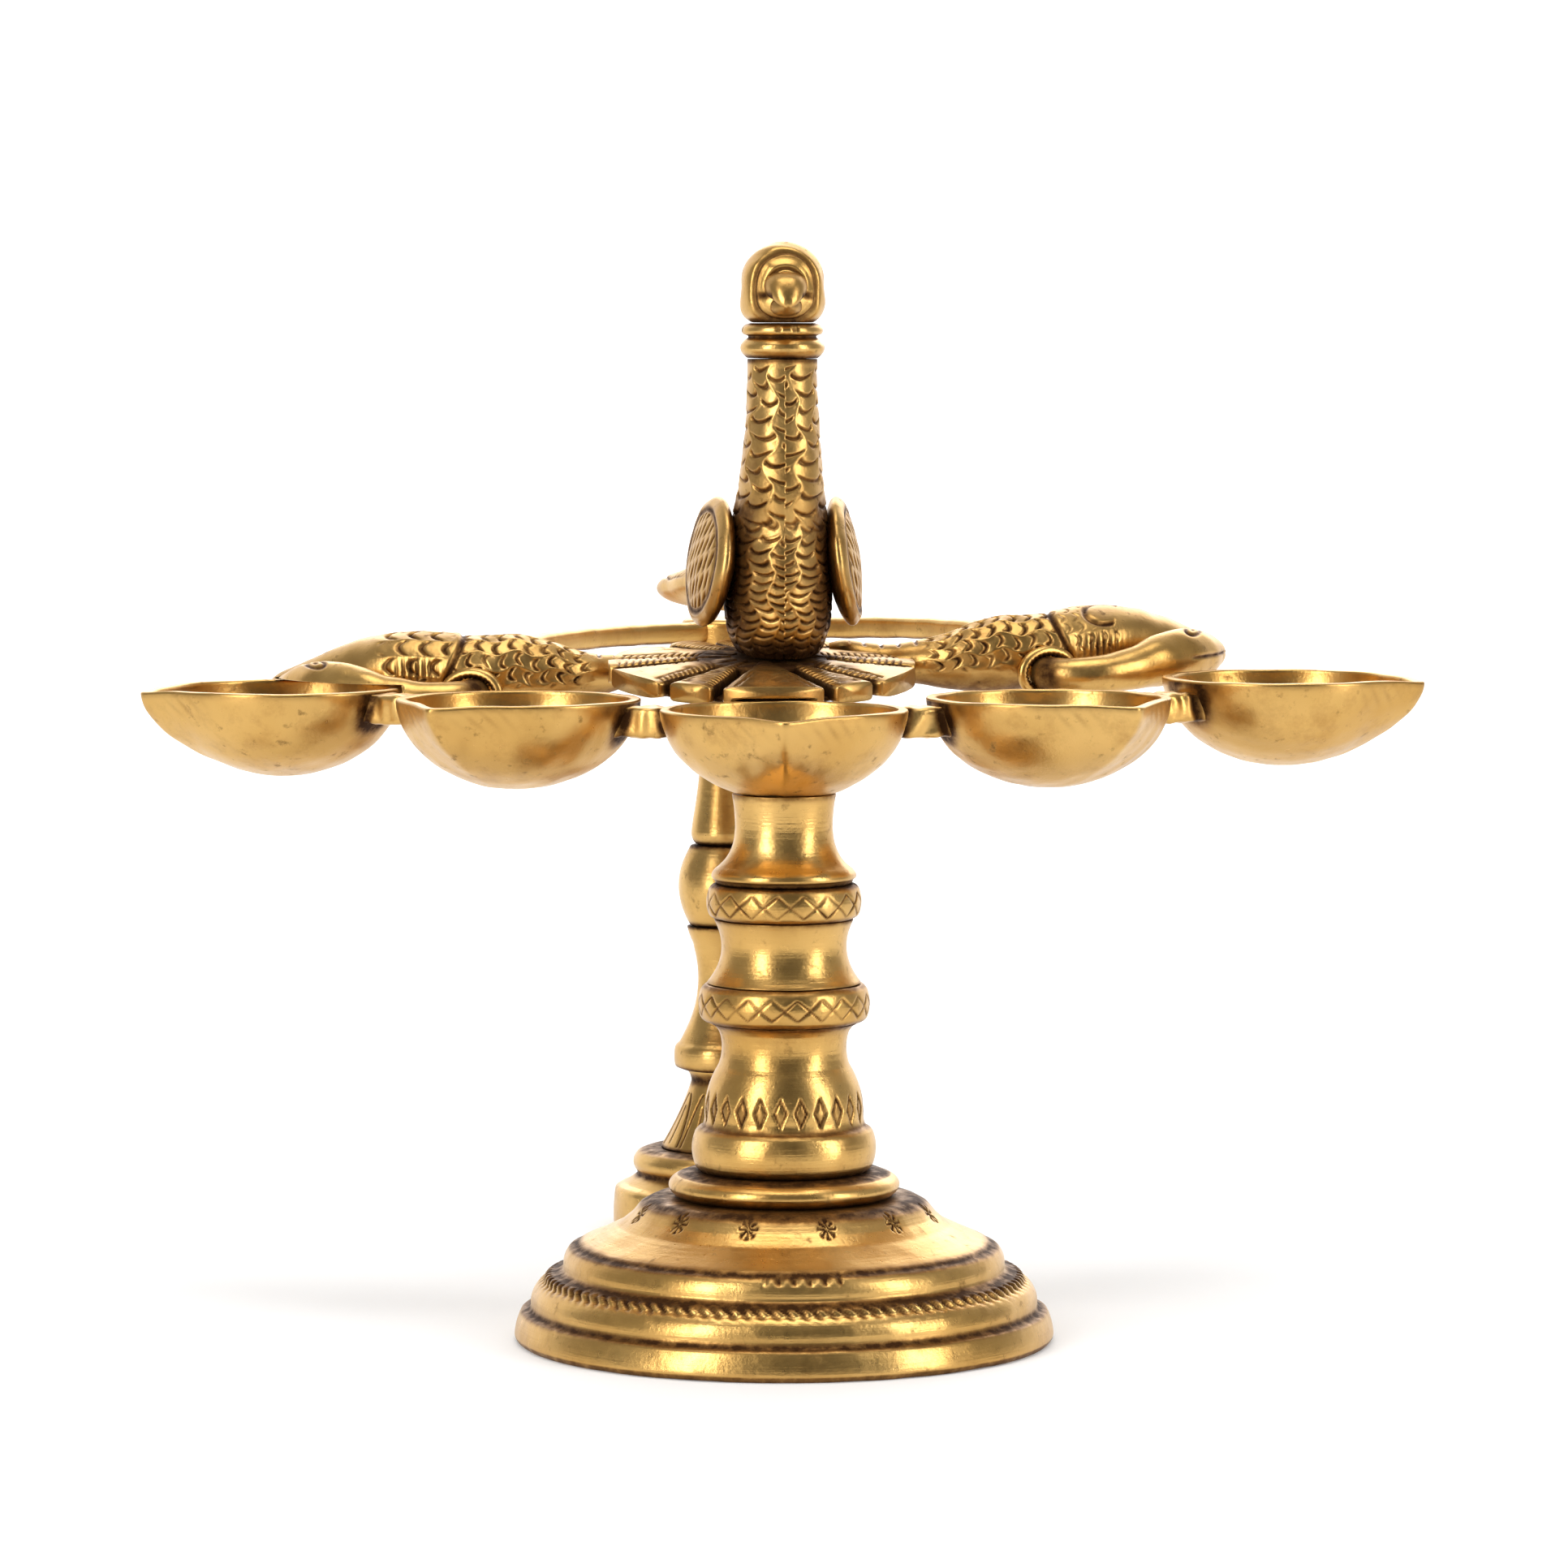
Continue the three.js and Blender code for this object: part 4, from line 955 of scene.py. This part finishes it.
def train_grid():
    stations = [(2.9, 52.2, 117.2, 4.4, 5), (2.9, 56, 116.9, 5.6, 5.5), (2.9, 64, 116, 7.4, 5.4),
                (2, 76, 114.4, 10.6, 5), (1, 88, 112.8, 13.3, 4.4), (0.5, 96, 111.9, 13.9, 4),
                (0.5, 100.8, 111.5, 11.8, 3.2), (0.5, 103.2, 111.3, 7.4, 2), (0.5, 103.9, 111.3, 3, 0.9)]

    def relief(along, angle, place):
        x, y = place[..., 0], place[..., 1]
        on_top = step_up(np.sin(angle), 0.1, 0.4)
        spread = (x - 1) / np.interp(y, [50, 64, 88, 100], [5, 7.4, 13, 13])
        lanes = np.abs(((spread * 3.5 + 0.5) % 1) - 0.5)
        vanes = bell(0.5 - lanes, 0.06) * on_top
        barbs = np.clip(np.sin((y - np.abs(lanes) * 6) * TAU / 1.9), 0.4, 1) - 0.4
        barbs = barbs * on_top * step_up(y, 60, 64) * (1 - step_up(y, 95, 98))
        push = -0.3 * vanes - 0.16 * barbs + 0.1 * (wobble(place, 9, 9) - 1)
        return push, 0.6 * vanes + 0.45 * barbs
    return swept(stations, 260, 220, relief=relief)


def wing_grid(left):
    """A thick oval leaf: a plain bright rim round a face cut with slanting dashes."""
    rx, ry, rz = 2.9, 12.2, 10.6
    tilt, yaw = math.radians(-8), math.radians(-9)

    def relief(place):
        y, z = place[..., 1], place[..., 2]
        inset = np.sqrt((y / ry) ** 2 + (z / rz) ** 2)
        outer = step_up(place[..., 0], 0.0, 0.5)
        row = (z + 0.25 * y) / 3.1
        shift = 0.5 * (np.floor(row) % 2)
        dash = ((y / 2.3 + shift + 0.8 * (row % 1)) % 1) - 0.5
        marks = bell(dash * 2.3, 0.42) * bell((row % 1) - 0.5, 0.34) * (inset < 0.74) * outer
        border = bell((inset - 0.8) * 10, 0.42) * outer
        push = -0.42 * marks - 0.36 * border - 0.35 * step_up(0.8 - inset, 0, 0.05) * outer
        dark = 1.1 * marks + 0.9 * border + 0.75 * (1 - step_up(place[..., 0], -2.6, -0.8))
        return push + 0.07 * (wobble(place, 5, 14 + left) - 1), dark

    grid, patina_and_shade = globe((0, 0, 0), (rx, ry, rz), 200, 300, pole=(1, 0, 0), relief=relief)
    about_y = np.array([[math.cos(tilt), 0, math.sin(tilt)], [0, 1, 0], [-math.sin(tilt), 0, math.cos(tilt)]])
    about_z = np.array([[math.cos(yaw), -math.sin(yaw), 0], [math.sin(yaw), math.cos(yaw), 0], [0, 0, 1]])
    grid = grid @ about_y.T @ about_z.T + np.array([10.9, HUB_Y + 4.5, 118.6])
    return grid, np.clip(patina_and_shade, 0, 1)


HEAD_AT = (0, NECK_Y - 0.8, 163.1)
HEAD_RADII = (6.8, 7.2, 7.0)


def head_grid():
    """A hooded head with a ring round its face and a brow over the beak."""
    def relief(place):
        x, z = place[..., 0] / HEAD_RADII[0], place[..., 2] / HEAD_RADII[2]
        front = step_up(-place[..., 1], 0.5, 2.0)
        ring = np.hypot(x, (z + 0.04) * 0.93)
        hood = bell((ring - 0.76) * 6.6, 0.32) * front
        fold = bell((ring - 0.68) * 6.6, 0.22) * front * 0.4
        brow = bell((np.hypot(x * 1.05, z + 0.1) - 0.52) * 6.6, 0.3) * front * step_up(z, -0.05, 0.2)
        face = step_up(0.72 - ring, 0, 0.1) * front
        socket = bell(np.hypot(np.abs(x) - 0.36, z * 1.2) * 6.6, 0.9) * front
        corner = bell(np.hypot(np.abs(x) - 0.55, (z + 0.26) * 1.6) * 6.6, 0.9) * front
        push = -0.6 * hood - 0.3 * fold - 0.55 * brow - 0.35 * face - 0.4 * socket - 0.3 * corner
        dark = 0.6 * hood + 0.55 * brow + 0.9 * socket + 0.5 * fold + corner
        dark = dark + 0.6 * (1 - step_up(place[..., 2], -6.1, -5.0))
        return push + 0.1 * (wobble(place, 5, 21) - 1), dark

    grid, patina_and_shade = globe((0, 0, 0), HEAD_RADII, 260, 260, pole=(0, -1, 0), relief=relief)
    low = np.clip(grid[..., 2] / HEAD_RADII[2], -1, 0)
    full = (1 + low**2) ** 0.65
    grid = grid * np.stack([full, full, np.ones_like(full)], -1) + np.array(HEAD_AT)
    grid[..., 2] = np.maximum(grid[..., 2], 157.1)
    return grid, np.clip(patina_and_shade, 0, 1)


def beak_grids():
    """A hooked upper beak over a shorter lower one, both pointing forward."""
    upper = [(0, 33.5, 163.0, 3.4, 2.6), (0, 31, 162.9, 3.5, 2.5), (0, 29, 162.5, 3.1, 2.3),
             (0, 27.5, 161.8, 2.4, 2.1), (0, 26.5, 160.9, 1.5, 1.5), (0, 26.0, 160.2, 0.6, 0.8)]
    lower = [(0, 33.5, 159.9, 2.9, 1.8), (0, 31, 159.8, 2.7, 1.7), (0, 29, 159.7, 2.1, 1.4),
             (0, 27.8, 159.7, 1.2, 0.9), (0, 27.2, 159.8, 0.5, 0.4)]
    top, top_dark = swept(upper, 60, 80, flat=0.9)
    bottom, bottom_dark = swept(lower, 50, 64, flat=0.85)
    mouth = 0.95 * bell(top[..., 2] - 161.2, 0.6) * (top[..., 1] > 27.5)
    gape = 0.8 * bell(bottom[..., 2] - 161.5, 0.6)
    return [(top, top_dark + 0.1 + mouth), (bottom, bottom_dark + 0.2 + gape)]


def make_peacock():
    joined("peacock_body_visual", [body_grid()], ANTIQUE, "peacock_body", settle=on_the_plate)
    joined("peacock_train_visual", [train_grid()], POLISHED, "peacock_tail")
    pair("peacock_wing", lambda left: [wing_grid(left)], ANTIQUE, "peacock_wing", settle=to_the_right)
    collar, top = 151.4, 157.0

    def nicks(angle, r, z):
        chip = (np.sin(angle * 9 + 1.3) * np.sin(angle * 5.3) > 0.55) * bell(z - 156.1, 0.5) * (r > 5)
        return -0.25 * chip, 0.3 * chip
    turned("peacock_collar_visual", [
        (0.02, collar), (5.6, collar), *bow((6.0, 151.7), (6.0, 154.4), 0.8, 10),
        (5.45, 154.7), (5.4, 154.95),
        (5.8, 155.1), *bow((6.3, 155.25), (6.3, 156.4), 0.2, 4), (5.9, 156.8), (5.2, top), (0.02, top),
    ], "peacock_collar", x=PEACOCK_X, y=NECK_Y, segments=220, step=0.16, closed=False, relief=nicks,
        grime=stains((154.8, 1, 0.26), (151.5, 0.9, 0.35), (156.9, 0.5, 0.25)))
    joined("peacock_head_visual", [head_grid()], POLISHED, "peacock_head", settle=to_the_right)
    joined("peacock_beak_visual", beak_grids(), POLISHED, "peacock_beak", settle=to_the_right)


# ---------------------------------------------------------------- side birds and rear arms

BIRD_ROLL = 0.033  # how fast the arms and birds climb towards the right
BIRD_DROP = 1.9
BIRD = [
    (12, 53.5, 105.4, 2.0, 1.2), (13.5, 53.3, 105.1, 2.5, 1.7), (22, 52, 103.2, 3.2, 2.9),
    (29, 50.5, 103, 4.8, 4.2),
    (36, 50, 103.8, 6, 6.1), (47, 52, 104.2, 7, 6.3), (56, 56, 104.6, 7.4, 6.4), (65, 61, 103.8, 6.6, 5.6),
    (73, 65, 102.4, 4, 3.6), (77.6, 67, 102.1, 2.1, 1.7), (79, 67.5, 101.8, 0.9, 0.7),
]
NECK = [
    (44, 47.5, 101.2, 2.2, 2.4), (46.5, 43.6, 100.6, 2.9, 2.9), (52, 41, 100.3, 3, 3.1),
    (59, 42.8, 100.9, 3.1, 3.4),
    (65.5, 47.5, 102, 3.9, 4.3), (71, 53.5, 102.3, 4.1, 4.4), (75, 59, 101.9, 2.9, 3.2),
    (76.8, 61.9, 102, 1.5, 1.5), (77.2, 62.5, 101.9, 0.8, 0.8),
]
ARM = [
    (42, 56, 104.6, 1.95, 1.85), (39, 66, 104.6, 1.95, 1.85), (31, 83, 104.6, 1.95, 1.85),
    (18, 101, 104.2, 1.95, 1.85), (4, 115.5, 103.4, 1.95, 1.85),
]
CUFF_AT = (46.6, 44.4, 100.9)


def bird_settle(grid):
    """Lowers the bird, raises it towards the right, and lays it on the bowls' rims."""
    grid[..., 2] += BIRD_ROLL * grid[..., 0] - BIRD_DROP
    return rest_on_bowls(grid)


def arm_settle(grid):
    grid[..., 2] += BIRD_ROLL * grid[..., 0]
    return grid


def bird_relief(left):
    def relief(along, angle, place):
        x, y, z = place[..., 0], place[..., 1], place[..., 2]
        upper = step_up(np.sin(angle), -0.45, -0.1)
        gill = 47.5 + 5.5 * (1 - np.sin(angle)) * 0.5
        on_body = step_up(x, 26, 29) * (1 - step_up(x, gill - 1, gill))
        across = angle / TAU * 14 + 0.3 + 0.2 * np.sin(x)
        groove, tilt = scales(across, (50 - x) / 2.7, 2.6, 31 + left, 0.45, 0.3)
        dome = step_up(x, gill, gill + 0.9)
        push = -(0.42 * groove + 0.4 * tilt) * on_body * upper
        push = push - 0.25 * (1 - dome) * step_up(x, 29, 36) * upper
        dark = 1.05 * groove * on_body * upper
        gill_line = bell(x - gill, 0.42) * upper
        push, dark = push - 0.35 * gill_line, dark + 1.1 * gill_line
        if left:
            bold, lift = scales(angle / TAU * 12 + 0.8, (64 - x) / 3.7, 3.2, 33, 0.5, 0.34)
            where = step_up(x, gill + 1, gill + 2) * (1 - step_up(x, 60, 62)) * upper
            push, dark = push - (0.5 * bold + 0.3 * lift) * where, dark + 0.95 * bold * where
        else:
            centre_x, lateral = 57.0, (angle - 2.05 + math.pi) % TAU - math.pi
            eye = np.hypot((x - centre_x) * 0.75, lateral * 5.2)
            crescent = bell(eye - 2.6, 0.36) * (x + 1.4 * lateral < centre_x + 2.0)
            small, _ = scales(angle / TAU * 18 + 0.2, (66 - x) / 2.3, 1.9, 35, 0.5, 0.15)
            small = small * (1 - step_up(x, 58, 60)) * dome * upper * (eye > 3.4)
            push = push - 0.45 * crescent * dome - 0.2 * small
            dark = dark + 0.95 * crescent * dome + 0.35 * small
        ribs = np.clip(np.sin(x * TAU / 1.1), 0, 1) * bell(x - 55.5, 3.2) * bell(z - 104.6, 1.8)
        front = step_up(-(y - np.interp(x, [29, 47, 56, 65], [50.5, 52, 56, 61])), 1, 3)
        push, dark = push - 0.35 * ribs * front, dark + 0.85 * ribs * front
        notch = bell(((x / 2.7) % 1) - 0.5, 0.11) * (x > 15) * (x < 26) * step_up(np.sin(angle), 0.75, 0.95)
        push, dark = push - 0.35 * notch, dark + 0.9 * notch
        # Painted shade: the underside of the body is darkened.
        dark = dark + 0.45 * (1 - step_up(np.sin(angle), -0.9, -0.4))
        return push + 0.1 * (wobble(place, 7, 41 + left) - 1), dark
    return relief


def neck_relief(left):
    def relief(along, angle, place):
        x = place[..., 0]
        head = step_up(x, 63, 65)
        lateral = (angle - 1.9 + math.pi) % TAU - math.pi
        swirl = np.hypot((x - 71.5) * 0.8, lateral * 3.4)
        curl = bell(swirl - 1.15, 0.28) * head + 0.8 * bell(swirl, 0.32) * head
        mouth = bell(place[..., 2] - 102.2, 0.25) * step_up(x, 70, 72) * (np.cos(angle) < 0)
        push = -0.3 * curl - 0.3 * mouth + 0.08 * (wobble(place, 6, 47 + left) - 1)
        dark = 0.95 * curl + 0.9 * mouth + 0.9 * bell(x - 46.0, 1.8)
        return push, dark
    return relief


def cuff_grid(left):
    """The raised collar round the neck where it leaves the body: a beaded ring, dark inside."""
    wide, tall, thick = 4.6, 3.5, 0.85
    rows, columns = 60, 180
    ring = np.arange(columns)[None, :] * TAU / columns
    tube = np.linspace(0, TAU, rows, endpoint=False)[:, None]
    heading = math.radians(22)
    side = np.array([math.cos(heading), math.sin(heading), 0])
    fore = np.array([-side[1], side[0], 0])
    bead = 0.1 * np.sin(ring * 30) * np.clip(-np.cos(tube), 0, 1)
    out = (thick + bead) * np.cos(tube)
    grid = (np.array(CUFF_AT) + side * ((wide + out) * np.cos(ring))[..., None]
            + fore * ((thick + bead) * np.sin(tube))[..., None])
    grid[..., 2] += (tall + out) * np.sin(ring)
    inside = step_up(-np.cos(tube), 0.0, 0.6)
    return grid, np.broadcast_to(np.clip(0.95 * inside + 0.08 * left, 0, 1), grid.shape[:2])


def make_birds():
    pair("bird_body", lambda left: [swept(BIRD, 420, 220, relief=bird_relief(left))], ANTIQUE, "bird_body",
         settle=bird_settle)
    pair("bird_neck", lambda left: [swept(NECK, 220, 130, relief=neck_relief(left))], POLISHED, "bird_neck",
         settle=bird_settle)

    def arm(left):
        def relief(along, angle, place):
            # Painted shade: the underside of the arm is darkened; the two ends are dark joints.
            under = 1 - step_up(np.sin(angle), -0.95, -0.5)
            joint = bell(along, 5) + bell(along - 77, 4)
            return 0.07 * (wobble(place, 8, 53 + left) - 1), 0.7 * under + 0.4 * joint
        return [swept(ARM, 240, 72, flat=0.6, relief=relief)]
    pair("arm", arm, POLISHED, "arm", settle=arm_settle)
    for side, mirror in (("right", False), ("left", True)):
        grid, patina_and_shade = cuff_grid(mirror)
        if mirror:
            grid, patina_and_shade = on_the_left(grid, patina_and_shade)
        grid = bird_settle(grid)
        piece(f"bird_cuff_{side}_visual", grid, patina_and_shade, POLISHED, f"bird_cuff_{side}", closed_rows=True)


def finish_steel():
    """The steel fixings keep their CAD solids and take a steel finish."""
    for end in ("front", "rear"):
        for part in ("tie_rod", "washer", "nut"):
            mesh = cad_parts[f"{end}_{part}"].data
            mesh.materials.clear()
            mesh.materials.append(STEEL)


make_front_base()
make_front_column()
make_rear_pedestal()
make_bowls()
make_links()
make_lotus()
make_peacock()
make_birds()
finish_steel()
make_camera()
make_light()
make_stage()
